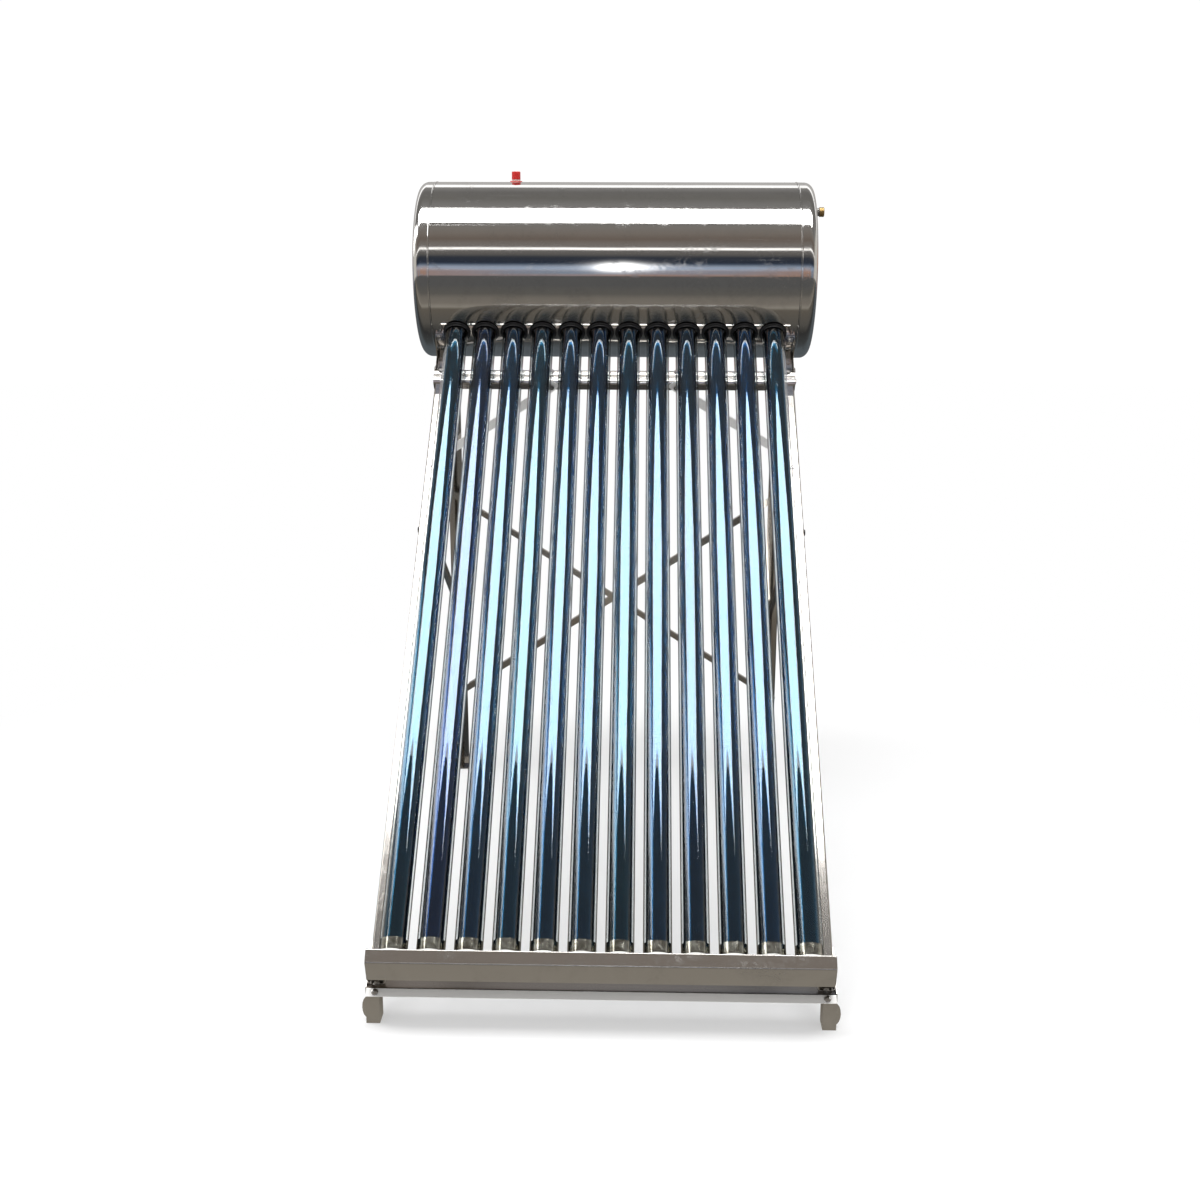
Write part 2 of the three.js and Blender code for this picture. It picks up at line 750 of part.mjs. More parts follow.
function sideBraceGeometry(side) {
  const railEnd = fromCollector(0, 812, RAIL_FRONT - 22);
  const legEnd = onLegFace(0, -975, POST_DEPTH - POST_SHEET - FIT_GAP);
  const along = legEnd.clone().sub(railEnd).normalize();
  const square = new THREE.Vector3().crossVectors(along, X_AXIS);
  const half = SIDE_BRACE_HEIGHT / 2;
  const web = side * (FRAME_HALF_WIDTH - LEG_LIP - 1);
  const edge = web - side * SIDE_BRACE_WIDTH;
  const cleat = side * (FRAME_HALF_WIDTH - POST_SHEET - FIT_GAP);
  const channel = foldedSheet(
    [
      [edge, -half],
      [web, -half],
      [web, half],
      [edge, half],
    ],
    side * SIDE_BRACE_SHEET,
  );
  const cleatSection = foldedSheet(
    [
      [web - side, half],
      [cleat, half],
      [cleat, -half],
    ],
    -side * SIDE_BRACE_SHEET,
  );
  const bar = prism(channel, legEnd.distanceTo(railEnd) - 9, railEnd, X_AXIS, square);
  const railCleat = prism(cleatSection, 30, railEnd, X_AXIS, square);
  const tabFrom = side * (FRAME_HALF_WIDTH - 9);
  const legTab = prism(
    [
      [edge, -half - 8],
      [tabFrom, -half - 8],
      [tabFrom, half + 8],
      [edge, half + 8],
    ],
    12,
    onLegFace(0, -975, POST_DEPTH - POST_SHEET - FIT_GAP - 12),
    X_AXIS,
    legDown,
  );
  const tabRoom = prism(
    [
      [edge - side, -half - 9],
      [tabFrom + side, -half - 9],
      [tabFrom + side, half + 9],
      [edge - side, half + 9],
    ],
    12,
    onLegFace(0, -975, POST_DEPTH - POST_SHEET - FIT_GAP - 14),
    X_AXIS,
    legDown,
  );
  return join(bar, railCleat, cut(legTab, tabRoom));
}

for (const [name, side] of SIDES) {
  addPiece(tank, "side_brace_" + name, sideBraceGeometry(side), standSteel);
}

// ---- Foot of the stand: tube tray, lower bar and front feet ----

const TRAY_HALF_WIDTH = 461;
const TRAY_SHEET = 1.5;
const TRAY_TOP = 1938;
const TRAY_FRONT = 37;
const TRAY_RIDGE = [1966, 32];
const TRAY_LIP = [1984, -12];

// A folded tray with a hole for the tail of each tube in its top, closed at both ends.
function trayGeometry() {
  const back = RAIL_FRONT + FIT_GAP;
  const fold = [
    [-TRAY_LIP[0], TRAY_LIP[1]],
    [-TRAY_RIDGE[0], TRAY_RIDGE[1]],
    [-TRAY_TOP, TRAY_FRONT],
    [-TRAY_TOP, back],
  ];
  const profile = foldedSheet(fold, -TRAY_SHEET);
  const endPlate = [...fold, [-TRAY_TOP - 26, back], [-TRAY_TOP - 44, back + 26]];
  const top = new THREE.Vector3(0, -TRAY_TOP + 10, 0);
  const holes = tubeIndexes.map((index) => {
    const from = top.clone().setX(tubeX(index));
    return rod(TUBE_RADIUS + 3, from, from.clone().setY(-TRAY_TOP - 10));
  });
  return cut(
    join(
      slab(profile, -TRAY_HALF_WIDTH, TRAY_HALF_WIDTH),
      slab(endPlate, -TRAY_HALF_WIDTH, -TRAY_HALF_WIDTH + TRAY_SHEET),
      slab(endPlate, TRAY_HALF_WIDTH - TRAY_SHEET, TRAY_HALF_WIDTH),
    ),
    ...holes,
  );
}

addPiece(collector, "tube_tail_tray", trayGeometry(), standSteel);

const BAR_TOP = -1367;
const BAR_FRONT = -1440;
const BAR_DEPTH = 42;
const BAR_LIP = 17.8;
const BAR_SHEET = 1.5;
const FOOT_FRONT = BAR_FRONT + BAR_SHEET + FIT_GAP;
const FOOT_BACK = BAR_FRONT + BAR_DEPTH;
const FOOT_WIDTH = 25;
const FOOT_SHEET = 2.5;
const EAR_REACH = 11;
const EAR_HALF_HEIGHT = 23;

// A folded bar: a level top and a front lip that slopes as the tubes do.
function lowerBarGeometry() {
  const fold = [
    [BAR_FRONT + BAR_DEPTH, BAR_TOP],
    [BAR_FRONT, BAR_TOP],
    [BAR_FRONT - BAR_LIP * Math.cos(TILT), BAR_TOP - BAR_LIP * Math.sin(TILT)],
  ];
  return slab(foldedSheet(fold, BAR_SHEET), -FRAME_HALF_WIDTH, FRAME_HALF_WIDTH);
}

addPiece(tank, "lower_cross_bar", lowerBarGeometry(), standSteel);

function rectangle(yFrom, yTo, zFrom, zTo) {
  return [
    [yFrom, zFrom],
    [yTo, zFrom],
    [yTo, zTo],
    [yFrom, zTo],
  ];
}

// A folded foot under the bar's end, with a side plate up to the rail and an ear that stands out sideways.
function frontFootGeometry(side) {
  const floor = -TANK_AXIS_HEIGHT;
  const top = BAR_TOP - BAR_SHEET - FIT_GAP;
  const outer = FRAME_HALF_WIDTH + FIT_GAP;
  const inner = FRAME_HALF_WIDTH - FOOT_WIDTH;
  const railTab = sideOutline([
    [1955, RAIL_FRONT],
    [1880, RAIL_FRONT - 6],
    [1880, RAIL_FRONT - POST_DEPTH + 4],
    [1925, RAIL_FRONT - POST_DEPTH],
  ]);
  const sidePlate = [
    [FOOT_BACK + 4, floor],
    [FOOT_BACK + 2, floor + 24],
    [FOOT_BACK + 14, floor + 50],
    ...railTab.reverse(),
    [FOOT_FRONT + 2, BAR_TOP],
    [FOOT_FRONT, floor + 40],
    [FOOT_FRONT, floor],
  ];
  const ear = Array.from({ length: 9 }, (_, i) => {
    const angle = THREE.MathUtils.degToRad(-90 + 22.5 * i);
    return [side * (outer + 1 + EAR_REACH * Math.cos(angle)), EAR_HALF_HEIGHT * Math.sin(angle)];
  });
  const earPlate = prism(
    ear,
    FOOT_SHEET,
    new THREE.Vector3(0, FOOT_FRONT + 14, floor + EAR_HALF_HEIGHT + 6),
    X_AXIS,
    Z_AXIS,
  );
  return join(
    slab(sidePlate, ...outboard(side, outer, outer + SIDE_PLATE)),
    slab(rectangle(FOOT_FRONT, FOOT_FRONT + FOOT_SHEET, floor, top), ...outboard(side, inner, outer + 1)),
    slab(rectangle(FOOT_FRONT, FOOT_BACK, floor, top), ...outboard(side, inner, inner + 2)),
    slab(rectangle(FOOT_FRONT, FOOT_BACK, floor, floor + 3), ...outboard(side, inner, outer + 1)),
    slab(rectangle(FOOT_FRONT, FOOT_BACK - 6, top - 2, top), ...outboard(side, inner, outer + 1)),
    earPlate,
  );
}

for (const [name, side] of SIDES) {
  addPiece(tank, "front_foot_" + name, frontFootGeometry(side), standSteel);
}

// ---- Origin on the floor, under the middle of the outline ----

const OUTLINE_MIDDLE_X = (BRASS_CAP_TO - TANK_HALF_LENGTH) / 2;
const OUTLINE_MIDDLE_Y = -610.2;
tank.position.set(-OUTLINE_MIDDLE_X, -OUTLINE_MIDDLE_Y, TANK_AXIS_HEIGHT);

export default heater;
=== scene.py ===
"""Looks of an evacuated-tube solar water heater: polished tank, glass tubes, folded steel stand."""

import math

import bmesh
import bpy
from mathutils import Matrix, Vector


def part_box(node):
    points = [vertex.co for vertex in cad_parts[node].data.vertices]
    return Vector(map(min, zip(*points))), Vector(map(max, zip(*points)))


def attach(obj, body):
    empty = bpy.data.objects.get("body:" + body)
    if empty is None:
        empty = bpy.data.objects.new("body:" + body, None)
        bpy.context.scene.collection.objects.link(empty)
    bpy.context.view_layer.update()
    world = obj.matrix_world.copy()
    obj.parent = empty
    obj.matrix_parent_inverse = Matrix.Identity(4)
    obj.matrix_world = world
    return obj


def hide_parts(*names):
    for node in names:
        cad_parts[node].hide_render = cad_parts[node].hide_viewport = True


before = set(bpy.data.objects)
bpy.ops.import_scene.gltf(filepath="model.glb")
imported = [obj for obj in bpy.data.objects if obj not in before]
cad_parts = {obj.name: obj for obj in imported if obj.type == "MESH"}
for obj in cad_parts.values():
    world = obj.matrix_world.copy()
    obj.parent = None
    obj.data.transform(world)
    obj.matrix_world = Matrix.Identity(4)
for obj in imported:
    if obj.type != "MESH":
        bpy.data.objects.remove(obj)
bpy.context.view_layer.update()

# ---- Dimensions, in millimetres from the tank's axis unless a name says otherwise ----

TILT = math.radians(42)
TUBE_COUNT = 12
TUBE_PITCH = 75.0
TUBE_RADIUS = 29.0
GLASS_WALL = 1.8
ABSORBER_RADIUS = 23.5
ABSORBER_WALL = 1.6
TUBE_MOUTH = 173.0
TAIL_DOME = 1938.0
TAIL_TIP = 1973.0
GETTER_FROM = 1908.0
RING_SEAT = 230.6
SHELL_RADIUS = 230.0
SHELL_SHEET = 1.0
SHELL_HALF_LENGTH = 475.0
TANK_HALF_LENGTH = 520.0
CAP_EDGE_RADIUS = 24.0
SHELL_HOLE_RADIUS = 34.2
NIPPLE_HOLE_RADIUS = 12.0
VENT_X = -267.0
SIDE_PORT_Y = -45.0
SIDE_PORT_Z = 153.5
WATER_PORT_X = 330.0
WATER_PORT_Z = -70.0
PORT_RADIUS = 10.8
FRAME_HALF_WIDTH = 467.0
LEG_LEAN = math.radians(3)
FLOOR_Z = -1446.0
MM = 0.001

low, high = (Vector(corner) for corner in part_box("tank_shell"))
AXIS = (low + high) / 2
X_DIR = Vector((1, 0, 0))
Y_DIR = Vector((0, 1, 0))
Z_DIR = Vector((0, 0, 1))
TUBE_DOWN = Vector((0, -math.cos(TILT), -math.sin(TILT)))
TUBE_OUT = Vector((0, -math.sin(TILT), math.cos(TILT)))
LEG_DOWN = Vector((0, math.sin(LEG_LEAN), -math.cos(LEG_LEAN)))
LEG_BACK = Vector((0, math.cos(LEG_LEAN), math.sin(LEG_LEAN)))
ROOT = "stand_and_tank"


def at(x, y, z):
    """A point in the row frame, from millimetres round the tank's axis."""
    return AXIS + Vector((x, y, z)) * MM


def on_tubes(x, down, out):
    """A point in the row frame, from millimetres across, down the tubes and out of their plane."""
    return AXIS + X_DIR * x * MM + TUBE_DOWN * down * MM + TUBE_OUT * out * MM


def on_leg(x, z, back=0.0):
    """A point on a rear leg's front face, or behind it, at a height given from the tank's axis."""
    y = -1 + (-246 - z) * math.tan(LEG_LEAN)
    return at(x, y, z) + LEG_BACK * back * MM


# ---- Node helpers ----

ALONG_X = (0.02, 1.0, 1.0)
ALONG_DEPTH = (1.0, 0.05, 0.05)
BAR_FOLD_Y = -1440.5


class Nodes:
    """Short ways to add nodes to the tree of a material or of the world."""

    def __init__(self, tree, coordinates):
        self.tree = tree
        self.coordinates = self.add("ShaderNodeTexCoord").outputs[coordinates]

    def add(self, kind, **values):
        node = self.tree.nodes.new(kind)
        for name, value in values.items():
            setattr(node, name, value)
        return node

    def link(self, output, socket):
        self.tree.links.new(output, socket)

    def noise(self, scale, detail=3.0, stretch=(1, 1, 1), offset=(0, 0, 0), distortion=0.0):
        mapping = self.add("ShaderNodeMapping")
        mapping.inputs["Scale"].default_value = stretch
        mapping.inputs["Location"].default_value = offset
        self.link(self.coordinates, mapping.inputs["Vector"])
        texture = self.add("ShaderNodeTexNoise")
        texture.inputs["Scale"].default_value = scale
        texture.inputs["Detail"].default_value = detail
        texture.inputs["Distortion"].default_value = distortion
        self.link(mapping.outputs["Vector"], texture.inputs["Vector"])
        return texture.outputs["Fac"]

    def ramp(self, factor, *stops):
        """A colour ramp through (position, grey or colour) stops."""
        node = self.add("ShaderNodeValToRGB")
        elements = node.color_ramp.elements
        while len(elements) < len(stops):
            elements.new(0.5)
        for element, (position, value) in zip(elements, stops):
            element.position = position
            element.color = (*value, 1) if isinstance(value, tuple) else (value, value, value, 1)
        self.link(factor, node.inputs["Fac"])
        return node.outputs["Color"]

    def mix(self, factor, first, second, blend="MIX"):
        node = self.add("ShaderNodeMix", data_type="RGBA", blend_type=blend)
        for socket, value in ((node.inputs[0], factor), (node.inputs[6], first), (node.inputs[7], second)):
            if isinstance(value, tuple):
                socket.default_value = (*value, 1)
            elif isinstance(value, (int, float)):
                socket.default_value = value
            else:
                self.link(value, socket)
        return node.outputs[2]

    def maths(self, operation, first, second=0.0):
        node = self.add("ShaderNodeMath", operation=operation)
        for socket, value in zip(node.inputs, (first, second)):
            if isinstance(value, (int, float)):
                socket.default_value = value
            else:
                self.link(value, socket)
        return node.outputs[0]

    def split(self):
        """The X, Y and Z of the coordinates."""
        node = self.add("ShaderNodeSeparateXYZ")
        self.link(self.coordinates, node.inputs[0])
        return [node.outputs[axis] for axis in "XYZ"]

    def map_range(self, value, start, end, low=0.0, high=1.0, interpolation="SMOOTHSTEP"):
        node = self.add("ShaderNodeMapRange", interpolation_type=interpolation)
        for name, number in (("From Min", start), ("From Max", end), ("To Min", low), ("To Max", high)):
            node.inputs[name].default_value = number
        self.link(value, node.inputs["Value"])
        return node.outputs["Result"]

    def mix_shader(self, factor, first, second):
        node = self.add("ShaderNodeMixShader")
        for socket, output in zip(node.inputs, (factor, first, second)):
            self.link(output, socket)
        return node.outputs[0]


class Shader(Nodes):
    """A material with a Principled shader."""

    def __init__(self, name, colour, metallic, roughness):
        self.material = bpy.data.materials.new(name)
        self.material.use_nodes = True
        super().__init__(self.material.node_tree, "Object")
        self.bsdf = self.tree.nodes["Principled BSDF"]
        self.bsdf.inputs["Base Color"].default_value = (*colour, 1)
        self.bsdf.inputs["Metallic"].default_value = metallic
        self.bsdf.inputs["Roughness"].default_value = roughness

    def surface(self, output):
        self.link(output, self.tree.nodes["Material Output"].inputs["Surface"])

    def bump(self, *layers):
        """Stacks (height, distance in metres) layers of bump."""
        normal = None
        for height, distance in layers:
            node = self.add("ShaderNodeBump")
            node.inputs["Strength"].default_value = 1.0
            node.inputs["Distance"].default_value = distance
            self.link(height, node.inputs["Height"])
            if normal is not None:
                self.link(normal, node.inputs["Normal"])
            normal = node.outputs["Normal"]
        self.link(normal, self.bsdf.inputs["Normal"])


def steel(name, colour, roughness, grain, wobble=0.00025, smudge=0.10, metallic=1.0):
    """Polished or rolled stainless steel: fine grain along one direction, smudges, faint scratches, slow waves."""
    shader = Shader(name, colour, metallic, roughness)
    fine = shader.noise(900, 2, grain)
    scratches = shader.noise(260, 5, tuple(0.25 * g for g in grain), offset=(3, 1, 2), distortion=0.4)
    patches = shader.noise(9, 6, distortion=1.2)
    prints = shader.noise(38, 4, offset=(5, 2, 7), distortion=2.5)
    waves = shader.noise(5.5, 1, offset=(1, 4, 2))
    smudges = shader.maths(
        "MULTIPLY",
        shader.ramp(patches, (0.48, 0.0), (0.70, 1.0)),
        shader.ramp(prints, (0.42, 0.0), (0.66, 1.0)),
    )
    scratch_mask = shader.ramp(scratches, (0.66, 0.0), (0.72, 1.0))
    rough = shader.maths("ADD", roughness * 0.8, shader.maths("MULTIPLY", fine, roughness * 0.45))
    rough = shader.maths("ADD", rough, shader.maths("MULTIPLY", smudges, smudge))
    rough = shader.maths("ADD", rough, shader.maths("MULTIPLY", scratch_mask, 0.10))
    shader.link(rough, shader.bsdf.inputs["Roughness"])
    dull = tuple(0.84 * c for c in colour)
    tinted = shader.mix(shader.ramp(patches, (0.35, 0.0), (0.75, 1.0)), colour, tuple(0.94 * c for c in colour))
    shader.link(shader.mix(smudges, tinted, dull), shader.bsdf.inputs["Base Color"])
    shader.bump((waves, wobble), (fine, 0.0000025), (scratch_mask, 0.000004))
    return shader.material


def moulded(name, colour, roughness, variation=0.15, grain=300, depth=0.00005, metallic=0.0):
    """A plain moulded, cast or turned surface with slight mottling and a fine texture."""
    shader = Shader(name, colour, metallic, roughness)
    mottle = shader.noise(40, 5)
    fine = shader.noise(grain, 3)
    darker = tuple(c * (1 - variation) for c in colour)
    shader.link(shader.mix(mottle, colour, darker), shader.bsdf.inputs["Base Color"])
    rough = shader.maths("ADD", roughness * 0.8, shader.maths("MULTIPLY", fine, roughness * 0.4))
    shader.link(rough, shader.bsdf.inputs["Roughness"])
    shader.bump((fine, depth))
    return shader.material


def bar_steel():
    """The lower bar's sheet: a painted reflection on its level top, dark brown at the left to dark blue at the
    right, and a painted highlight on its lip, near white and less metallic.
    """
    shader = Shader("bar_steel", (0.5, 0.5, 0.5), 1.0, 0.2)
    x, y, _ = shader.split()
    # The lip is painted near white, with less metal and more roughness, as a painted highlight.
    lip = shader.maths("LESS_THAN", y, at(0, BAR_FOLD_Y, 0).y)
    across = shader.maths("ADD", x, 0.5)
    # Painted reflection on the level top: brown at the left, dark blue at the right.
    top = shader.ramp(across, (0.1, (0.20, 0.155, 0.125)), (0.9, (0.10, 0.115, 0.15)))
    mottle = shader.noise(34, 5, ALONG_X, distortion=1.0)
    top = shader.mix(mottle, top, (0.26, 0.24, 0.22))
    shader.link(shader.mix(lip, top, (0.95, 0.94, 0.92)), shader.bsdf.inputs["Base Color"])
    shader.link(shader.maths("SUBTRACT", 1.0, shader.maths("MULTIPLY", lip, 0.65)), shader.bsdf.inputs["Metallic"])
    rough = shader.maths("ADD", 0.18, shader.maths("MULTIPLY", mottle, 0.12))
    shader.link(shader.maths("ADD", rough, shader.maths("MULTIPLY", lip, 0.2)), shader.bsdf.inputs["Roughness"])
    shader.bump((shader.noise(900, 2, ALONG_X), 0.0000025))
    return shader.material


def tube_glass():
    """Clear borosilicate with a little dust; shadow rays pass straight through."""
    shader = Shader("tube_glass", (0.96, 0.985, 0.99), 0.0, 0.0)
    shader.bsdf.inputs["Transmission Weight"].default_value = 1.0
    shader.bsdf.inputs["IOR"].default_value = 1.47
    dust = shader.noise(26, 7, offset=(2, 9, 4), distortion=0.8)
    prints = shader.noise(90, 3, offset=(7, 3, 1), distortion=3.0)
    haze = shader.maths(
        "MULTIPLY",
        shader.ramp(dust, (0.50, 0.0), (0.78, 1.0)),
        shader.ramp(prints, (0.40, 0.0), (0.75, 1.0)),
    )
    shader.link(shader.maths("MULTIPLY", haze, 0.18), shader.bsdf.inputs["Roughness"])
    shader.bump((shader.noise(3, 1, stretch=(1, 0.3, 0.3)), 0.0001))
    clear = shader.add("ShaderNodeBsdfTransparent")
    path = shader.add("ShaderNodeLightPath")
    shader.surface(shader.mix_shader(path.outputs["Is Shadow Ray"], shader.bsdf.outputs[0], clear.outputs[0]))
    return shader.material


def absorber_coating(name, colour, seed):
    """Dark interference coating: a tinted mirror that shifts in hue in slow patches and carries fine specks."""
    shader = Shader(name, colour, 1.0, 0.04)
    slow = shader.noise(2.2, 2, offset=(seed, 0, seed * 0.7))
    specks = shader.noise(420, 4, offset=(seed, 1, 0))
    cloud = shader.noise(24, 5, offset=(0, seed, 2), distortion=1.5)
    bluer = (colour[0] * 0.9, colour[1] * 0.97, colour[2] * 1.15)
    base = shader.mix(shader.ramp(slow, (0.35, 0.0), (0.68, 1.0)), colour, bluer)
    paler = tuple(min(1.0, c * 1.5 + 0.012) for c in colour)
    base = shader.mix(shader.ramp(cloud, (0.58, 0.0), (0.80, 0.7)), base, paler)
    base = shader.mix(shader.ramp(specks, (0.72, 0.0), (0.78, 0.6)), base, (0.16, 0.22, 0.30))
    shader.link(base, shader.bsdf.inputs["Base Color"])
    rough = shader.maths("ADD", 0.025, shader.maths("MULTIPLY", cloud, 0.05))
    shader.link(rough, shader.bsdf.inputs["Roughness"])
    return shader.material


def getter_mirror():
    """Silvery barium film on the inside of a tube's tail, browner towards its edge."""
    shader = Shader("getter_mirror", (0.5, 0.47, 0.4), 1.0, 0.1)
    patches = shader.noise(70, 5, distortion=1.0)
    colour = shader.ramp(patches, (0.35, (0.27, 0.235, 0.175)), (0.66, (0.60, 0.57, 0.50)))
    shader.link(colour, shader.bsdf.inputs["Base Color"])
    shader.link(shader.maths("MULTIPLY", patches, 0.2), shader.bsdf.inputs["Roughness"])
    return shader.material


SHELL_STEEL = steel("shell_steel", (0.80, 0.785, 0.765), 0.055, ALONG_X, wobble=0.0004, smudge=0.14)
CAP_STEEL = steel("cap_steel", (0.78, 0.765, 0.745), 0.075, (1, 1, 1), wobble=0.0004)
STAND_STEEL = steel("stand_steel", (0.77, 0.735, 0.69), 0.11, ALONG_DEPTH)
CROSS_STEEL = steel("cross_steel", (0.80, 0.775, 0.745), 0.11, ALONG_X)
TRAY_STEEL = steel("tray_steel", (0.76, 0.735, 0.70), 0.17, ALONG_X, smudge=0.16)
# The corner braces are painted near white and only partly metal: a painted highlight that keeps them white.
BRACE_STEEL = steel("brace_steel", (0.95, 0.94, 0.925), 0.36, (1, 1, 1), metallic=0.35)
BAR_STEEL = bar_steel()
VESSEL_STEEL = steel("vessel_steel", (0.66, 0.655, 0.64), 0.32, ALONG_X)
BOLT_STEEL = steel("bolt_steel", (0.70, 0.69, 0.67), 0.22, (1, 1, 1))
DARK_BOLT_STEEL = steel("dark_bolt_steel", (0.16, 0.155, 0.15), 0.34, (1, 1, 1))
RUBBER = moulded("black_rubber", (0.012, 0.012, 0.013), 0.34, 0.3, 500, 0.00006)
RED_PLASTIC = moulded("red_plastic", (0.62, 0.018, 0.014), 0.32, 0.2, 240)
GROMMET = moulded("grommet_rubber", (0.62, 0.12, 0.11), 0.45, 0.25, 260)
WHITE_PLASTIC = moulded("white_plastic", (0.80, 0.79, 0.76), 0.35, 0.08, 260)
TAPE = moulded("thread_tape", (0.72, 0.66, 0.62), 0.5, 0.2, 700, 0.0002)
BRASS = moulded("turned_brass", (0.62, 0.42, 0.17), 0.3, 0.3, 600, 0.00003, metallic=1.0)
FOAM = moulded("rigid_foam", (0.76, 0.62, 0.33), 0.85, 0.25, 900, 0.0008)
TUBE_GLASS = tube_glass()
GETTER = getter_mirror()

# Coatings of the twelve tubes differ a little, from teal through navy to violet.
TEAL = (0.017, 0.082, 0.132)
NAVY = (0.018, 0.074, 0.142)
BLUE = (0.018, 0.076, 0.160)
VIOLET = (0.024, 0.060, 0.142)
DARK = (0.016, 0.062, 0.120)
TUBE_TINTS = [TEAL, VIOLET, NAVY, TEAL, NAVY, NAVY, TEAL, NAVY, DARK, NAVY, BLUE, TEAL]

# ---- Mesh helpers ----


def finish_mesh(name, vertices, faces, material, sharp=math.radians(32)):
    mesh = bpy.data.meshes.new(name)
    mesh.from_pydata([tuple(v) for v in vertices], [], faces)
    tidy = bmesh.new()
    tidy.from_mesh(mesh)
    bmesh.ops.recalc_face_normals(tidy, faces=tidy.faces)
    tidy.to_mesh(mesh)
    tidy.free()
    mesh.shade_smooth()
    mesh.set_sharp_from_angle(angle=sharp)
    mesh.materials.append(material)
    made = bpy.data.objects.new(name, mesh)
    bpy.context.scene.collection.objects.link(made)
    return made


def rounded(points, radius, steps=4):
    """An open line with its inner corners rounded to arcs. A point may give its own radius as a third value."""
    line = [Vector(points[0][:2])]
    for before, corner, after in zip(points, points[1:], points[2:]):
        own = corner[2] if len(corner) > 2 else radius
        here = Vector(corner[:2])
        back = Vector(before[:2]) - here
        ahead = Vector(after[:2]) - here
        reach = min(own, back.length * 0.45, ahead.length * 0.45)
        if reach < 1e-6:
            line.append(here)
            continue
        start = here + back.normalized() * reach
        end = here + ahead.normalized() * reach
        for step in range(steps + 1):
            t = step / steps
            line.append(start * (1 - t) ** 2 + here * 2 * t * (1 - t) + end * t * t)
    line.append(Vector(points[-1][:2]))
    return line


def revolve_parts(profile, origin, along, sides, closed=False):
    """Vertices and faces of a profile of (radius, distance) millimetres turned about a line."""
    helper = X_DIR if abs(along.x) < 0.9 else Y_DIR
    first = along.cross(helper).normalized()
    second = along.cross(first)
    vertices, rings, faces = [], [], []
    for radius, distance in profile:
        centre = origin + along * distance * MM
        if radius < 1e-4:
            rings.append([len(vertices)])
            vertices.append(centre)
            continue
        ring = []
        for i in range(sides):
            angle = 2 * math.pi * i / sides
            ring.append(len(vertices))
            vertices.append(centre + (first * math.cos(angle) + second * math.sin(angle)) * radius * MM)
        rings.append(ring)
    pairs = list(zip(rings, rings[1:]))
    if closed:
        pairs.append((rings[-1], rings[0]))
    for one, other in pairs:
        for i in range(sides):
            j = (i + 1) % sides
            if len(one) == 1 and len(other) == 1:
                continue
            if len(one) == 1:
                faces.append((one[0], other[i], other[j]))
            elif len(other) == 1:
                faces.append((one[i], other[0], one[j]))
            else:
                faces.append((one[i], other[i], other[j], one[j]))
    return vertices, faces


def join_parts(parts):
    vertices, faces = [], []
    for part_vertices, part_faces in parts:
        base = len(vertices)
        vertices += part_vertices
        faces += [tuple(base + i for i in face) for face in part_faces]
    return vertices, faces


def revolve(name, profile, origin, along, material, sides=64, closed=False):
    return finish_mesh(name, *revolve_parts(profile, origin, along, sides, closed), material)


def prism_parts(outline, depth, origin, a, b):
    """An outline of (a, b) millimetres pushed depth millimetres along a x b."""
    out = a.cross(b)
    count = len(outline)
    near = [origin + (a * p[0] + b * p[1]) * MM for p in outline]
    far = [v + out * depth * MM for v in near]
    faces = [tuple(range(count)), tuple(range(2 * count - 1, count - 1, -1))]
    faces += [(i, (i + 1) % count, count + (i + 1) % count, count + i) for i in range(count)]
    return near + far, faces


def bevel(piece, width, segments=3, angle=math.radians(35)):
    modifier = piece.modifiers.new("edges", "BEVEL")
    modifier.width = width * MM
    modifier.segments = segments
    modifier.limit_method = "ANGLE"
    modifier.angle_limit = angle
    modifier.harden_normals = True
    return modifier


def settle(piece, slot_name, *nodes, body=ROOT):
    """Puts a finished piece on its body and hides the CAD nodes that it stands for. Its material slot, slot_name,
    is not used.
    """
    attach(piece, body)
    if nodes:
        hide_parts(*nodes)
    return piece


def apply_modifiers(piece):
    graph = bpy.context.evaluated_depsgraph_get()
    mesh = bpy.data.meshes.new_from_object(piece.evaluated_get(graph))
    piece.modifiers.clear()
    piece.data = mesh


def cut_away(piece, cutters):
    """Subtracts a list of (vertices, faces) solids from a piece."""
    tool = finish_mesh("cutter", *join_parts(cutters), RUBBER)
    modifier = piece.modifiers.new("cut", "BOOLEAN")
    modifier.operation = "DIFFERENCE"
    modifier.solver = "EXACT"
    modifier.object = tool
    apply_modifiers(piece)
    bpy.data.objects.remove(tool)


# ---- Tubes ----


def tube_x(index):
    return (index - (TUBE_COUNT - 1) / 2) * TUBE_PITCH


def dome(radius, centre, start, end, steps):
    """Points of a round end whose pole is furthest down the tube."""
    line = []
    for step in range(steps + 1):
        angle = math.radians(start + (end - start) * step / steps)
        line.append((radius * math.sin(angle), centre + radius * math.cos(angle)))
    return line


def glass_profile():
    inside = TUBE_RADIUS - GLASS_WALL
    lip = ABSORBER_RADIUS + 0.7
    seal_off = ((0, 0), (1.2, 0.4), (2.2, 2.2), (3.2, 4.5), (5.2, 6.4))
    outside = [(radius, TAIL_TIP - back) for radius, back in seal_off]
    outside += dome(TUBE_RADIUS, TAIL_DOME, 18, 90, 12)
    mouth = rounded(
        [(TUBE_RADIUS, TUBE_MOUTH + 20), (TUBE_RADIUS, TUBE_MOUTH), (lip, TUBE_MOUTH), (lip, TUBE_MOUTH + 8)], 2
    )
    return outside + mouth + [(inside, TUBE_MOUTH + 10)] + dome(inside, TAIL_DOME, 90, 0, 12)


def absorber_profile():
    tail = TAIL_DOME - 16
    inside = ABSORBER_RADIUS - ABSORBER_WALL
    rim = [(ABSORBER_RADIUS, TUBE_MOUTH + 1.3), (inside, TUBE_MOUTH + 1.3)]
    return dome(ABSORBER_RADIUS, tail, 0, 90, 12) + rim + dome(inside, tail, 90, 0, 12)


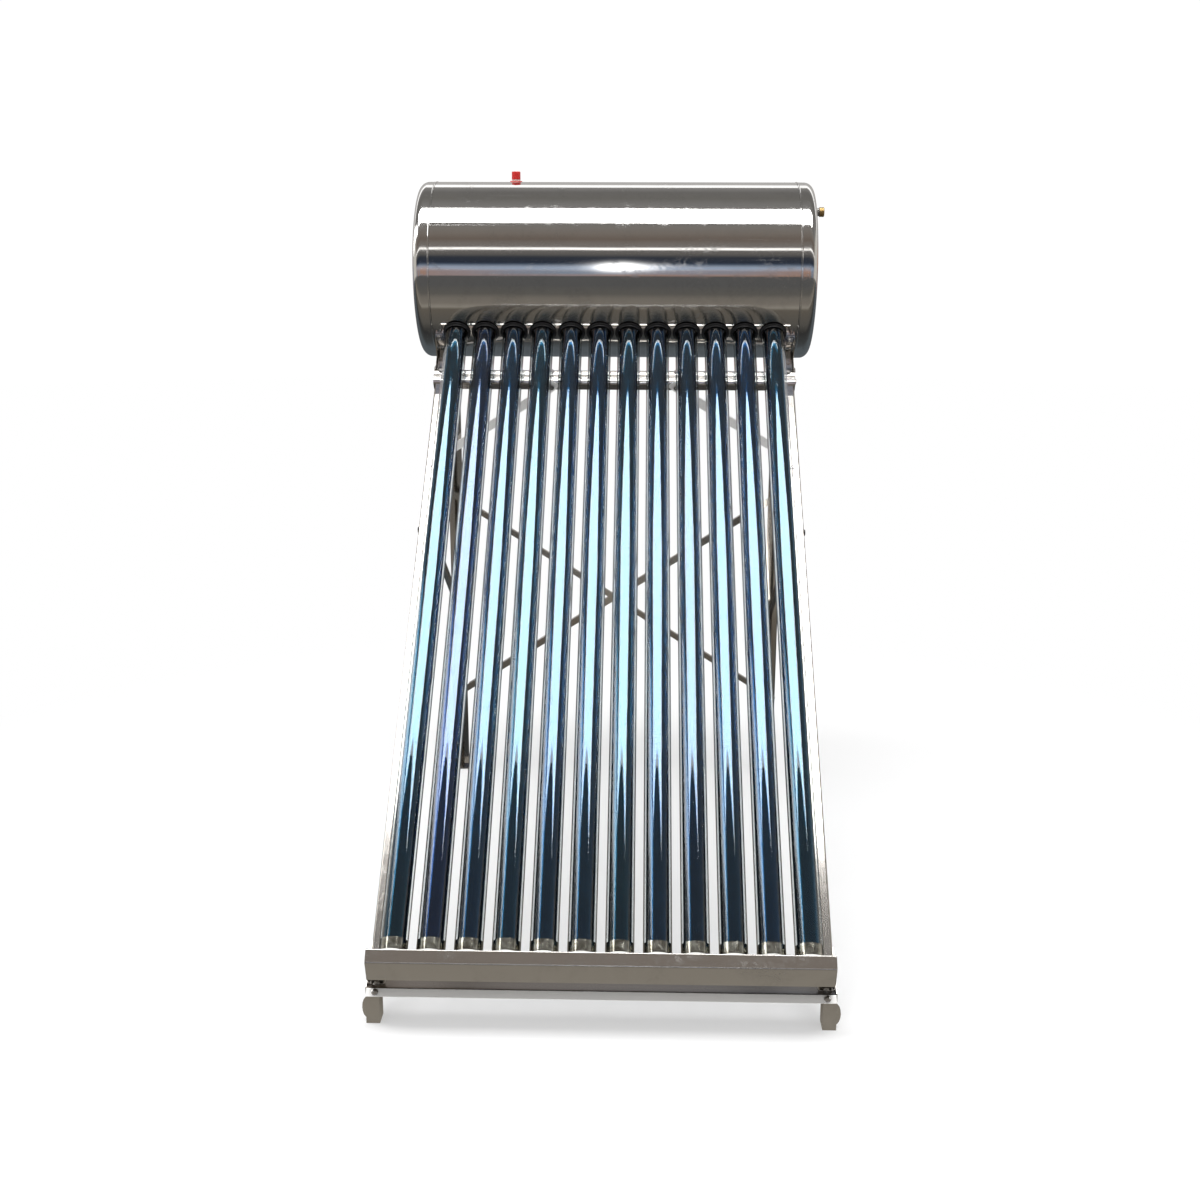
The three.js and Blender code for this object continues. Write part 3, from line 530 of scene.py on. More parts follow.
def getter_profile():
    skin = TUBE_RADIUS - GLASS_WALL - 0.15
    outer = [(skin, GETTER_FROM), (skin, GETTER_FROM + 12)] + dome(skin, TAIL_DOME, 90, 4, 10)
    inner = dome(skin - 0.3, TAIL_DOME, 4, 90, 10) + [(skin - 0.3, GETTER_FROM + 12), (skin - 0.3, GETTER_FROM)]
    return outer + inner


def dust_ring_profile():
    bore = TUBE_RADIUS + 0.5
    seat = RING_SEAT
    return rounded(
        [
            (bore, seat + 4),
            (bore, seat + 7, 0.5),
            (bore + 1.6, seat + 7, 0.8),
            (bore + 2.4, seat + 3.4, 2.0),
            (36, seat + 3.0, 1.2),
            (36, seat, 0.4),
            (32.2, seat, 0.5),
            (32.2, seat - 6.6, 0.6),
            (bore, seat - 6.6, 0.4),
            (bore, seat),
        ],
        1.0,
    )


for index in range(TUBE_COUNT):
    number = "%02d" % (index + 1)
    body = "tube_" + number
    start = on_tubes(tube_x(index), 0, 0)
    glass = revolve("glass_tube_" + number, glass_profile(), start, TUBE_DOWN, TUBE_GLASS, 64)
    settle(glass, "clear_glass", "outer_glass_tube_" + number, body=body)
    coating = absorber_coating("absorber_coating_" + number, TUBE_TINTS[index], 3.7 * index)
    absorber = revolve("coated_tube_" + number, absorber_profile(), start, TUBE_DOWN, coating, 64)
    settle(absorber, "absorber_coating", "absorber_tube_" + number, body=body)
    mirror = revolve("getter_mirror_" + number, getter_profile(), start, TUBE_DOWN, GETTER, 64, closed=True)
    settle(mirror, "clear_glass", body=body)
    ring = revolve("dust_seal_" + number, dust_ring_profile(), start, TUBE_DOWN, RUBBER, 64, closed=True)
    settle(ring, "black_rubber", "dust_ring_" + number)

# Tail cups: white plastic sockets that drop into the tray's holes.
cup_profile = rounded(
    [
        (29.6, 1940),
        (29.6, 1934.6, 0.6),
        (32.9, 1934.6, 0.8),
        (32.9, 1937.4, 0.6),
        (31.4, 1937.4, 0.4),
        (30.9, 1944, 3.0),
        (27.5, 1952.1, 3.0),
        (21.5, 1960.2, 3.0),
        (14, 1965.5, 3.0),
        (9, 1967.5, 0.4),
        (9, 1966.2, 0.4),
        (14, 1964.1, 3.0),
        (20.6, 1959.3, 3.0),
        (26.4, 1951.4, 3.0),
        (29.6, 1944, 3.0),
        (29.6, 1940),
    ],
    1.0,
)[:-1]
for index in range(TUBE_COUNT):
    start = on_tubes(tube_x(index), 0, 0)
    name = "tail_cup_%02d" % (index + 1)
    cup = revolve(name, cup_profile, start, TUBE_DOWN, WHITE_PLASTIC, 48, closed=True)
    settle(cup, "stand_steel")

# ---- Tank ----


def drill(radius, start, end, sides=64):
    along = end - start
    length = along.length / MM
    return revolve_parts([(0, 0), (radius, 0), (radius, length), (0, length)], start, along.normalized(), sides)


def shell_normals(piece):
    """Exact radial normals on the shell's round faces, so that reflections stay straight beside the holes."""
    mesh = piece.data
    normals = []
    for polygon in mesh.polygons:
        radial = polygon.center - AXIS
        radial.x = 0
        facing = polygon.normal.dot(radial.normalized())
        for loop in polygon.loop_indices:
            vertex = mesh.vertices[mesh.loops[loop].vertex_index].co - AXIS
            vertex.x = 0
            if abs(facing) > 0.97:
                normals.append(vertex.normalized() * (1 if facing > 0 else -1))
            else:
                normals.append(polygon.normal.copy())
    mesh.normals_split_custom_set(normals)


shell_profile = rounded(
    [
        (SHELL_RADIUS - SHELL_SHEET, 0),
        (SHELL_RADIUS - SHELL_SHEET, -SHELL_HALF_LENGTH, 0.3),
        (SHELL_RADIUS, -SHELL_HALF_LENGTH, 0.3),
        (SHELL_RADIUS, SHELL_HALF_LENGTH, 0.3),
        (SHELL_RADIUS - SHELL_SHEET, SHELL_HALF_LENGTH, 0.3),
        (SHELL_RADIUS - SHELL_SHEET, 0),
    ],
    0.3,
    steps=1,
)[:-1]
shell = revolve("polished_shell", shell_profile, AXIS, X_DIR, SHELL_STEEL, 240, closed=True)
shell_drills = [
    drill(SHELL_HOLE_RADIUS, on_tubes(tube_x(i), 200, 0), on_tubes(tube_x(i), 250, 0))
    for i in range(TUBE_COUNT)
]
shell_drills.append(drill(NIPPLE_HOLE_RADIUS, at(VENT_X, 0, 215), at(VENT_X, 0, 240)))
for side in (-1, 1):
    x = side * WATER_PORT_X
    shell_drills.append(drill(NIPPLE_HOLE_RADIUS, at(x, 190, WATER_PORT_Z), at(x, 240, WATER_PORT_Z)))
cut_away(shell, shell_drills)
shell_normals(shell)
settle(shell, "polished_steel", "tank_shell")


def cap_profile():
    skirt = 228.6
    seam = SHELL_HALF_LENGTH + 0.4
    end = TANK_HALF_LENGTH
    edge = CAP_EDGE_RADIUS
    points = rounded(
        [
            (skirt - 1, seam - 12),
            (skirt, seam - 12, 0.2),
            (skirt, seam, 0.2),
            (231.2, seam, 0.6),
            (231.4, seam + 2.2, 0.9),
            (230.2, seam + 4.2, 0.8),
            (229.9, end - edge, 2.0),
        ],
        0.5,
        3,
    )
    centre = (SHELL_RADIUS - edge, end - edge)
    for step in range(1, 17):
        angle = math.radians(90 * step / 16)
        points.append((centre[0] + edge * math.cos(angle), centre[1] + edge * math.sin(angle)))
    points += rounded([(195, end), (156, end, 3.0), (144, end - 5, 3.0), (90, end - 5.0), (0, end - 4.4)], 1.0, 5)
    inner = [(0, end - 6), (140, end - 6.2), (152, end - 1), (200, end - 1), (222, end - 8), (228, end - 24)]
    return points + inner + [(227.6, seam - 12)]


for name, side in (("left", -1), ("right", 1)):
    cap = revolve("pressed_cap_" + name, cap_profile(), AXIS, X_DIR * side, CAP_STEEL, 192)
    settle(cap, "polished_steel", "end_cap_" + name)


def thread(name, origin, along, radius, length, material, pitch=1.8):
    """A threaded stub with a bore, round crests and a chamfered end."""
    line = [(radius - 2.6, 0), (radius, 0)]
    turns = int(length / pitch) - 1
    for turn in range(turns):
        start = 0.8 + turn * pitch
        line += [(radius, start), (radius - 0.7, start + pitch * 0.5)]
    line += [(radius, length - 1.2), (radius - 0.9, length), (radius - 2.6, length)]
    return revolve(name, line, origin, along, material, 40, closed=True)


vent = thread("vent_nipple", at(VENT_X, 0, 228), Z_DIR, PORT_RADIUS, 20.3, VESSEL_STEEL)
settle(vent, "inner_steel")
tape = revolve(
    "thread_tape",
    [(10.9, 233.2), (11.4, 233.4), (11.5, 234.4), (11.35, 235.4), (11.0, 235.7)],
    at(VENT_X, 0, 0),
    Z_DIR,
    TAPE,
    48,
    closed=True,
)
settle(tape, "inner_steel")
grommet_profile = rounded(
    [(11.3, 226), (11.3, 233, 0.8), (15.4, 232.6, 1.5), (16.4, 230.9, 0.6), (16.4, 228.9, 0.2), (13, 226)], 0.8
)
grommet = revolve("vent_grommet", grommet_profile, at(VENT_X, 0, 0), Z_DIR, GROMMET, 64, closed=True)
settle(grommet, "red_plastic")
side_port = thread("port_nipple", at(513, SIDE_PORT_Y, SIDE_PORT_Z), X_DIR, PORT_RADIUS, 32.3, VESSEL_STEEL)
settle(side_port, "inner_steel")
washer_profile = rounded([(11.2, 519.9), (11.2, 522.4, 0.4), (16.5, 522.4, 1.0), (16.5, 519.9)], 0.5)
port_line = at(0, SIDE_PORT_Y, SIDE_PORT_Z)
port_washer = revolve("port_washer", washer_profile, port_line, X_DIR, RUBBER, 64, closed=True)
settle(port_washer, "black_rubber")
for name, side in (("left", -1), ("right", 1)):
    base = at(side * WATER_PORT_X, 216, WATER_PORT_Z)
    stub = thread("water_nipple_" + name, base, Y_DIR, PORT_RADIUS, 46.3, VESSEL_STEEL)
    settle(stub, "inner_steel")
    seat = rounded([(11.2, 214), (11.2, 226, 0.6), (14.6, 225.6, 1.2), (16.2, 218, 0.4), (14, 214)], 0.8)
    port_line = at(side * WATER_PORT_X, 0, WATER_PORT_Z)
    sleeve = revolve("water_grommet_" + name, seat, port_line, Y_DIR, RUBBER, 64, closed=True)
    settle(sleeve, "black_rubber")


RIBS_OUTSIDE = 9.6


def ribbed_parts(profile, origin, along, ribs, depth):
    """A turned part whose rim carries lengthwise ribs."""
    sides = ribs * 6
    vertices, faces = revolve_parts(profile, origin, along, sides)
    moved = []
    for vertex in vertices:
        offset = vertex - origin
        height = along * offset.dot(along)
        radial = offset - height
        if radial.length < RIBS_OUTSIDE * MM:
            moved.append(vertex)
            continue
        helper = X_DIR if abs(along.x) < 0.9 else Y_DIR
        first = along.cross(helper).normalized()
        angle = math.atan2(radial.dot(along.cross(first)), radial.dot(first))
        wave = 0.5 - 0.5 * math.cos(ribs * angle)
        moved.append(origin + height + radial.normalized() * (radial.length - depth * MM * wave))
    return moved, faces


cap_line = rounded(
    [
        (0, 254),
        (10.95, 254, 0.2),
        (10.95, 236.2, 0.2),
        (11.5, 236.2, 0.2),
        (11.5, 255.2, 0.6),
        (10.6, 256.8, 0.8),
        (9.2, 257, 0.4),
        (8.6, 255.8, 0.4),
        (0, 255.8),
    ],
    0.3,
    3,
)
vent_cap = finish_mesh(
    "ribbed_vent_cap",
    *ribbed_parts(cap_line, at(VENT_X, 0, 0), Z_DIR, 22, 0.5),
    RED_PLASTIC,
)
settle(vent_cap, "red_plastic", "red_vent_cap", body="vent_cap")
brass_line = rounded(
    [
        (0, 546.4),
        (10.95, 546.4, 0.2),
        (10.95, 536.2, 0.2),
        (12.5, 536.2, 0.5),
        (12.5, 541.0, 0.2),
        (11.9, 541.4, 0.2),
        (11.9, 542.0, 0.2),
        (12.5, 542.4, 0.2),
        (12.5, 547.4, 0.8),
        (11.3, 548.5, 0.6),
        (5, 548.5, 0.3),
        (4.6, 547.9, 0.3),
        (0, 547.9),
    ],
    0.3,
    3,
)
brass_cap = finish_mesh(
    "turned_port_cap",
    *ribbed_parts(brass_line, at(0, SIDE_PORT_Y, SIDE_PORT_Z), X_DIR, 28, 0.3),
    BRASS,
)
settle(brass_cap, "brass", "brass_port_cap", body="port_cap")

# The vessel and the foam are closed in, so their CAD solids stay and only take their materials.
for node, material in (("inner_tank", VESSEL_STEEL), ("tank_insulation", FOAM)):
    for material_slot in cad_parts[node].material_slots:
        material_slot.material = material

# ---- Stand ----


def sheet_copy(node, name, material, width=0.7):
    """A copy of a folded CAD part with its edges and folds rounded."""
    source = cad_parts[node]
    mesh = source.data.copy()
    mesh.name = name
    work = bmesh.new()
    work.from_mesh(mesh)
    bmesh.ops.remove_doubles(work, verts=work.verts, dist=1e-5)
    bmesh.ops.dissolve_limit(
        work, angle_limit=math.radians(0.5), verts=work.verts, edges=work.edges, use_dissolve_boundaries=False
    )
    bmesh.ops.recalc_face_normals(work, faces=work.faces)
    work.to_mesh(mesh)
    work.free()
    mesh.materials.clear()
    mesh.materials.append(material)
    copy = bpy.data.objects.new(name, mesh)
    bpy.context.scene.collection.objects.link(copy)
    mesh.shade_smooth()
    mesh.set_sharp_from_angle(angle=math.radians(30))
    bevel(copy, width, 2, math.radians(30))
    settle(copy, "stand_steel", node)
    return copy


for side in ("left", "right"):
    sheet_copy("tank_cradle_" + side, "cradle_" + side, STAND_STEEL, 0.5)
    sheet_copy("corner_brace_" + side, "corner_bar_" + side, BRACE_STEEL)
    sheet_copy("side_brace_" + side, "side_channel_" + side, STAND_STEEL, 0.5)
    sheet_copy("front_foot_" + side, "foot_" + side, TRAY_STEEL, 0.6)
sheet_copy("rear_diagonal_brace_front", "diagonal_front", STAND_STEEL, 0.5)
sheet_copy("rear_diagonal_brace_back", "diagonal_back", STAND_STEEL, 0.5)


def offset_line(points, distance):
    """An open line moved sideways, to the left of its own direction."""
    flat = [Vector(p[:2]) for p in points]
    sides = []
    for here, ahead in zip(flat, flat[1:]):
        step = (ahead - here).normalized()
        sides.append(Vector((-step.y, step.x)))
    moved = [flat[0] + sides[0] * distance]
    for corner, before, after in zip(flat[1:-1], sides, sides[1:]):
        middle = (before + after).normalized()
        moved.append(corner + middle * distance / middle.dot(before))
    moved.append(flat[-1] + sides[-1] * distance)
    return moved


def folded_outline(line, thickness, radius):
    """The cut edge of a folded sheet: a line, its offset, and concentric arcs at each fold."""
    inner_line = offset_line(line, thickness)
    outer, inner = [line[0][:2]], [tuple(inner_line[0])]
    for before, corner, after, inside in zip(line, line[1:], line[2:], inner_line[1:]):
        first = Vector(corner[:2]) - Vector(before[:2])
        second = Vector(after[:2]) - Vector(corner[:2])
        turns_left = first.x * second.y - first.y * second.x > 0
        shrink = abs(thickness) if turns_left == (thickness > 0) else -abs(thickness)
        own = corner[2] if len(corner) > 2 else radius
        outer.append((*corner[:2], max(own, 0.2) if shrink > 0 else max(own - abs(thickness), 0.3)))
        inner.append((*inside, max(own - shrink, 0.3) if shrink > 0 else own))
    outer.append(line[-1][:2])
    inner.append(tuple(inner_line[-1]))
    return rounded(outer, radius, 5) + rounded(inner, radius, 5)[::-1]


def trim_below(piece, z):
    """Cuts a piece level at a height given from the tank's axis, and closes it."""
    work = bmesh.new()
    work.from_mesh(piece.data)
    everything = work.verts[:] + work.edges[:] + work.faces[:]
    cut = bmesh.ops.bisect_plane(work, geom=everything, plane_co=at(0, 0, z), plane_no=Z_DIR, clear_inner=True)
    rim = [item for item in cut["geom_cut"] if isinstance(item, bmesh.types.BMEdge)]
    bmesh.ops.holes_fill(work, edges=rim)
    work.to_mesh(piece.data)
    work.free()


def flatten_shading(piece):
    """Keeps flat faces flat beside rounded folds."""
    modifier = piece.modifiers.new("flats", "WEIGHTED_NORMAL")
    modifier.keep_sharp = True
    modifier.weight = 100


RAIL_FRONT = -62.0
RAIL_BACK = -100.0
RAIL_TOP = 229.0
RAIL_FOOT_Z = -1366.0
POST_INNER = 432.0
POST_SHEET = 1.8
FOLD_RADIUS = 5.0
LEG_TOP_Z = -246.0
LEG_FOOT_Z = -1445.0
for name, side in (("left", -1), ("right", 1)):
    near, far = sorted((side * POST_INNER, side * FRAME_HALF_WIDTH))
    line = [(near, RAIL_BACK), (near, RAIL_FRONT), (far, RAIL_FRONT), (far, RAIL_BACK)]
    outline = folded_outline(line, -POST_SHEET, FOLD_RADIUS)
    top = on_tubes(0, RAIL_TOP, 0)
    rail = finish_mesh(
        "rail_channel_" + name,
        *prism_parts(outline, 2000 - RAIL_TOP, top, X_DIR, TUBE_OUT),
        STAND_STEEL,
    )
    trim_below(rail, RAIL_FOOT_Z)
    flatten_shading(rail)
    settle(rail, "stand_steel", "front_rail_" + name)
    line = [(side * 451, 0), (side * FRAME_HALF_WIDTH, 0), (side * FRAME_HALF_WIDTH, 38), (side * POST_INNER, 38)]
    outline = folded_outline(line, side * POST_SHEET, FOLD_RADIUS)
    foot = on_leg(0, FLOOR_Z - 20)
    height = (on_leg(0, LEG_TOP_Z) - foot).length / MM
    leg = finish_mesh(
        "leg_channel_" + name, *prism_parts(outline, height, foot, X_DIR, LEG_BACK), STAND_STEEL
    )
    trim_below(leg, LEG_FOOT_Z)
    flatten_shading(leg)
    settle(leg, "stand_steel", "rear_leg_" + name)
    sole = on_leg(side * 446, FLOOR_Z, 19)
    corners = rounded([(0, -26), (25, -26, 5), (25, 26, 5), (-25, 26, 5), (-25, -26, 5), (0, -26)], 5)[:-1]
    plate = finish_mesh(
        "leg_sole_" + name, *prism_parts(corners, 3, sole, X_DIR, Y_DIR), STAND_STEEL
    )
    bevel(plate, 0.5, 2)
    settle(plate, "stand_steel")

cross_line = [
    (-375, -61.6),
    (-375, -40, 3.0),
    (-369, -34, 3.0),
    (-355.5, -34, 1.0),
    (-351.5, -36.5, 1.5),
    (-347.5, -34, 1.0),
    (-334, -34, 3.0),
    (-328, -40, 3.0),
    (-328, -61.6),
]
cross = finish_mesh(
    "cross_channel",
    *prism_parts(
        folded_outline(cross_line, -1.5, 2.5),
        2 * FRAME_HALF_WIDTH,
        on_tubes(-FRAME_HALF_WIDTH, 0, 0),
        -TUBE_DOWN,
        TUBE_OUT,
    ),
    CROSS_STEEL,
)
flatten_shading(cross)
settle(cross, "stand_steel", "upper_cross_member")

TRAY_HALF_WIDTH = 461.0
TRAY_HOLE = 32.0
tray_line = [(-1984, -12), (-1966, 32), (-1938, 37), (-1938, -61.6)]
tray = finish_mesh(
    "tail_tray",
    *prism_parts(
        folded_outline(tray_line, -1.5, 3.0),
        2 * TRAY_HALF_WIDTH,
        on_tubes(-TRAY_HALF_WIDTH, 0, 0),
        -TUBE_DOWN,
        TUBE_OUT,
    ),
    TRAY_STEEL,
)
cut_away(
    tray,
    [drill(TRAY_HOLE, on_tubes(tube_x(i), 1930, 0), on_tubes(tube_x(i), 1946, 0), 64) for i in range(TUBE_COUNT)],
)
flatten_shading(tray)
settle(tray, "stand_steel", "tube_tail_tray")
end_outline = rounded(
    [
        (-1938, 0),
        (-1938, -61.6, 1),
        (-1964, -61.6, 4),
        (-1982, -35.6, 4),
        (-1984, -12, 3),
        (-1966, 32, 5),
        (-1938, 37, 4),
        (-1938, 0),
    ],
    1,
)[:-1]
tray_ends = join_parts(
    prism_parts(end_outline, 1.5, on_tubes(start, 0, 0), -TUBE_DOWN, TUBE_OUT)
    for start in (-TRAY_HALF_WIDTH - 0.02, TRAY_HALF_WIDTH - 1.48)
)
ends = finish_mesh("tray_end_plates", *tray_ends, TRAY_STEEL)
bevel(ends, 0.4, 2)
settle(ends, "stand_steel")

bar_line = [(-1398, -1367), (-1440, -1367, 2.5), (-1453.2, -1378.9)]
bar = finish_mesh(
    "lower_angle",
    *prism_parts(
        folded_outline(bar_line, 1.5, 2.5), 2 * FRAME_HALF_WIDTH, at(-FRAME_HALF_WIDTH, 0, 0), Y_DIR, Z_DIR
    ),
    BAR_STEEL,
)
flatten_shading(bar)
settle(bar, "stand_steel", "lower_cross_bar")


# ---- Fasteners ----


def bolt_parts(seat, normal, across=13.0, height=5.0, washer=9.0):
    """A flanged hex bolt head that sits on a surface: washer, then six flats with a chamfered top."""
    normal = normal.normalized()
    ring = [(0, 0), (washer, 0), (washer, 1.0), (washer - 0.5, 1.4), (across * 0.52, 1.6), (0, 1.6)]
    radius = across / math.sqrt(3)
    head = [(0, 1.5), (radius, 1.5), (radius, height - 0.9), (radius * 0.93, height - 0.2), (radius * 0.8, height)]
    head += [(0, height)]
    return [revolve_parts(ring, seat, normal, 32), revolve_parts(head, seat, normal, 6)]


def nut_parts(seat, normal, across=13.0, height=6.5, stud=11.0):
    """A nut with the end of its bolt standing out of it."""
    normal = normal.normalized()
    radius = across / math.sqrt(3)
    nut = [(0, 0), (radius * 0.93, 0), (radius, 0.7), (radius, height - 0.7), (radius * 0.93, height), (0, height)]
    shank = [(0, height - 1), (3.9, height - 1), (3.9, stud - 0.8), (3.2, stud), (0, stud)]
    return [revolve_parts(nut, seat, normal, 6), revolve_parts(shank, seat, normal, 24)]


def fasteners(name, parts, material):
    flat = [solid for group in parts for solid in group]
    settle(finish_mesh(name, *join_parts(flat), material, math.radians(25)), "stand_steel")


bolts = {name: [] for name in ("rail", "web", "cradle", "foot", "member", "brace", "diagonal", "bar")}
for side in (-1, 1):
    outward = X_DIR * side
    web = side * (FRAME_HALF_WIDTH + 0.05)
    plate = side * (FRAME_HALF_WIDTH + 2.75)
    bolts["rail"].append(bolt_parts(on_tubes(side * 453, 630, -61.95), TUBE_OUT, 10, 4, 7))
    bolts["web"].append(bolt_parts(on_tubes(web, 817, -84), outward))
    bolts["web"].append(nut_parts(on_tubes(side * 463.1, 824, -84), -outward))
    bolts["web"].append(bolt_parts(on_leg(web, -975, 22), outward))
    for down in (288, 326):
        bolts["cradle"].append(bolt_parts(on_tubes(plate, down, -80), outward))
    bolts["cradle"].append(bolt_parts(at(plate, 26, -318), outward))
    bolts["cradle"].append(bolt_parts(at(plate, 24, -284), outward))
    for down in (1896, 1930):
        bolts["foot"].append(bolt_parts(on_tubes(plate, down, -82), outward, 10, 4, 7))
    bolts["member"].append(bolt_parts(on_tubes(side * 162, 338, -33.95), TUBE_OUT, 10, 5, 7))
    bolts["member"].append(bolt_parts(on_tubes(side * 449, 336, -33.95), TUBE_OUT, 10, 5, 7))
    bolts["brace"].append(nut_parts(on_tubes(side * 160, 377.95, -48), TUBE_DOWN, 11, 5, 9))
    bolts["brace"].append(nut_parts(on_leg(side * 459, -492, -2.95), -LEG_BACK, 11, 5, 8))
    for height, depth in ((-612, 2.3), (-1212, 2.3)):
        stand_off = 4.45 if (side < 0) == (height == -612) else 2.25
        bolts["diagonal"].append(bolt_parts(on_leg(side * 458.5, height, -stand_off), -LEG_BACK))
    bolts["bar"].append(bolt_parts(at(side * 449, -1421, -1366.95), Z_DIR, 11, 4.5, 8))
    bolts["bar"].append(bolt_parts(at(side * 449, -1446.65, -1372.9), TUBE_OUT, 11, 4.5, 7))
for name, parts in bolts.items():
    fasteners(name + "_bolts", parts, DARK_BOLT_STEEL if name in ("web", "member") else BOLT_STEEL)

# ---- Floor ----

FLOOR_RADIUS = 14.0
FLOOR_SIDES = 64
FADE_FROM, FADE_TO = 0.9, 2.3
FADE_AT_OBJECT = 0.4
floor_shader = Shader("pale_floor", (0.9, 0.9, 0.9), 0.0, 0.6)
floor_shader.bsdf.inputs["Specular IOR Level"].default_value = 0.1
grain = floor_shader.noise(3.0, 4)
floor_shader.link(
    floor_shader.mix(grain, (0.91, 0.91, 0.91), (0.88, 0.88, 0.88)), floor_shader.bsdf.inputs["Base Color"]
)

# The floor as seen in polished steel, by its distance from front to back: a painted reflection that glows for
# glossy rays only, with a painted bright band along the front of the stand.
FLOOR_REACH = 4.0
FLOOR_TONES = [
    (-4.0, (0.10, 0.10, 0.10)),
    (-2.1, (0.12, 0.115, 0.105)),
    (-1.6, (0.18, 0.165, 0.145)),
    (-1.1, (0.21, 0.19, 0.165)),
    (-0.85, (0.28, 0.26, 0.225)),
    (-0.70, (0.13, 0.115, 0.095)),
    (0.0, (0.10, 0.095, 0.085)),
    (0.4, (0.035, 0.035, 0.035)),
    (0.9, (0.055, 0.06, 0.062)),
    (1.3, (0.092, 0.108, 0.120)),
    (4.0, (0.105, 0.118, 0.128)),
]
depth = floor_shader.maths("MULTIPLY", floor_shader.split()[1], 0.5 / FLOOR_REACH)
depth = floor_shader.maths("ADD", depth, 0.5)
tones = floor_shader.ramp(depth, *[(0.5 + 0.5 * y / FLOOR_REACH, tone) for y, tone in FLOOR_TONES])
mirrored = floor_shader.add("ShaderNodeEmission")
floor_shader.link(tones, mirrored.inputs["Color"])
spread = floor_shader.add("ShaderNodeVectorMath", operation="LENGTH")
floor_shader.link(floor_shader.coordinates, spread.inputs[0])
fade = floor_shader.map_range(spread.outputs["Value"], FADE_FROM, FADE_TO, low=FADE_AT_OBJECT)
backdrop = floor_shader.add("ShaderNodeEmission")
backdrop.inputs["Color"].default_value = (1, 1, 1, 1)
pale = floor_shader.mix_shader(fade, floor_shader.bsdf.outputs[0], backdrop.outputs[0])
floor_rays = floor_shader.add("ShaderNodeLightPath")
bounced = floor_shader.maths("GREATER_THAN", floor_rays.outputs["Glossy Depth"], 0.5)
floor_shader.surface(floor_shader.mix_shader(bounced, pale, mirrored.outputs[0]))
turns = [i * math.tau / FLOOR_SIDES for i in range(FLOOR_SIDES)]
rim = [(FLOOR_RADIUS * math.cos(turn), FLOOR_RADIUS * math.sin(turn), 0) for turn in turns]
floor = finish_mesh("floor", rim, [tuple(range(FLOOR_SIDES))], floor_shader.material)

# ---- Studio light ----

scene = bpy.context.scene
scene.view_settings.view_transform = "Standard"
world = bpy.data.worlds.new("studio")
world.use_nodes = True
scene.world = world
sky = Nodes(world.node_tree, "Generated")
sky_x, sky_y, sky_z = sky.split()
angle = sky.maths("ARCTAN2", sky_z, sky.maths("MULTIPLY", sky_y, -1))

# Brightness of the studio as seen in polished steel, by degrees up from the horizon in front and over the top.
STUDIO = [
    (0, (0.28, 0.295, 0.325)),
    (3, (0.39, 0.44, 0.52)),
    (6, (0.33, 0.39, 0.49)),
    (9, (0.09, 0.12, 0.175)),
    (11, (0.025, 0.034, 0.055)),
    (18, (0.034, 0.040, 0.055)),
    (22, (0.12, 0.115, 0.11)),
    (27.5, (0.17, 0.16, 0.155)),
    (28.2, (1.5, 1.48, 1.45)),
    (30.4, (1.5, 1.48, 1.45)),
    (31.2, (0.21, 0.195, 0.185)),
    (36, (0.20, 0.18, 0.165)),
    (42, (0.16, 0.13, 0.11)),
    (50, (0.20, 0.175, 0.155)),
    (58, (0.21, 0.195, 0.18)),
    (66, (0.17, 0.165, 0.16)),
    (86, (0.22, 0.215, 0.21)),
    (97, (0.21, 0.205, 0.20)),
    (108, (0.165, 0.16, 0.15)),
    (123, (0.165, 0.16, 0.155)),
    (134, (0.24, 0.235, 0.23)),
    (138, (0.30, 0.29, 0.28)),
    (139, (1.4, 1.4, 1.4)),
    (147, (1.3, 1.3, 1.3)),
    (150, (0.52, 0.51, 0.50)),
    (180, (0.42, 0.41, 0.40)),
]
steps = [(degrees / 180, colour) for degrees, colour in STUDIO]
room = sky.ramp(sky.maths("MULTIPLY", angle, 1 / math.pi), *steps)

# Walls and furniture of the room near the horizon: slow warm and cool patches.
patch = sky.add("ShaderNodeTexNoise")
patch.inputs["Scale"].default_value = 3.2
patch.inputs["Detail"].default_value = 3
sky.link(sky.coordinates, patch.inputs["Vector"])
patches = sky.ramp(patch.outputs["Fac"], (0.42, (1.45, 0.80, 0.52)), (0.60, (0.78, 0.95, 1.15)))
near_horizon = sky.map_range(sky_z, 0.14, 0.0, 0.0, 0.85, "LINEAR")
room = sky.mix(near_horizon, room, patches, "MULTIPLY")
SIDE_WALL = (0.62, 0.60, 0.56)
side_share = sky.map_range(sky.maths("ABSOLUTE", sky_x), 0.82, 0.97)
room = sky.mix(side_share, room, SIDE_WALL)

# The photographer's lamp: a soft glow straight in front, just above the horizon.
LAMP_X, LAMP_Z = -0.013, 0.10
LAMP_HALF_WIDTH, LAMP_HALF_HEIGHT = 0.012, 0.085
LAMP_RADIANCE = 5.0
beside = sky.maths("DIVIDE", sky.maths("SUBTRACT", sky_x, LAMP_X), LAMP_HALF_WIDTH)
over = sky.maths("DIVIDE", sky.maths("SUBTRACT", sky_z, LAMP_Z), LAMP_HALF_HEIGHT)
from_lamp = sky.maths("ADD", sky.maths("POWER", beside, 2.0), sky.maths("POWER", over, 2.0))
glow = sky.maths("POWER", math.e, sky.maths("MULTIPLY", from_lamp, -1.0))
glow = sky.maths("MULTIPLY", glow, sky.maths("LESS_THAN", sky_y, 0.0))
room = sky.mix(1.0, room, sky.maths("MULTIPLY", glow, LAMP_RADIANCE), "ADD")

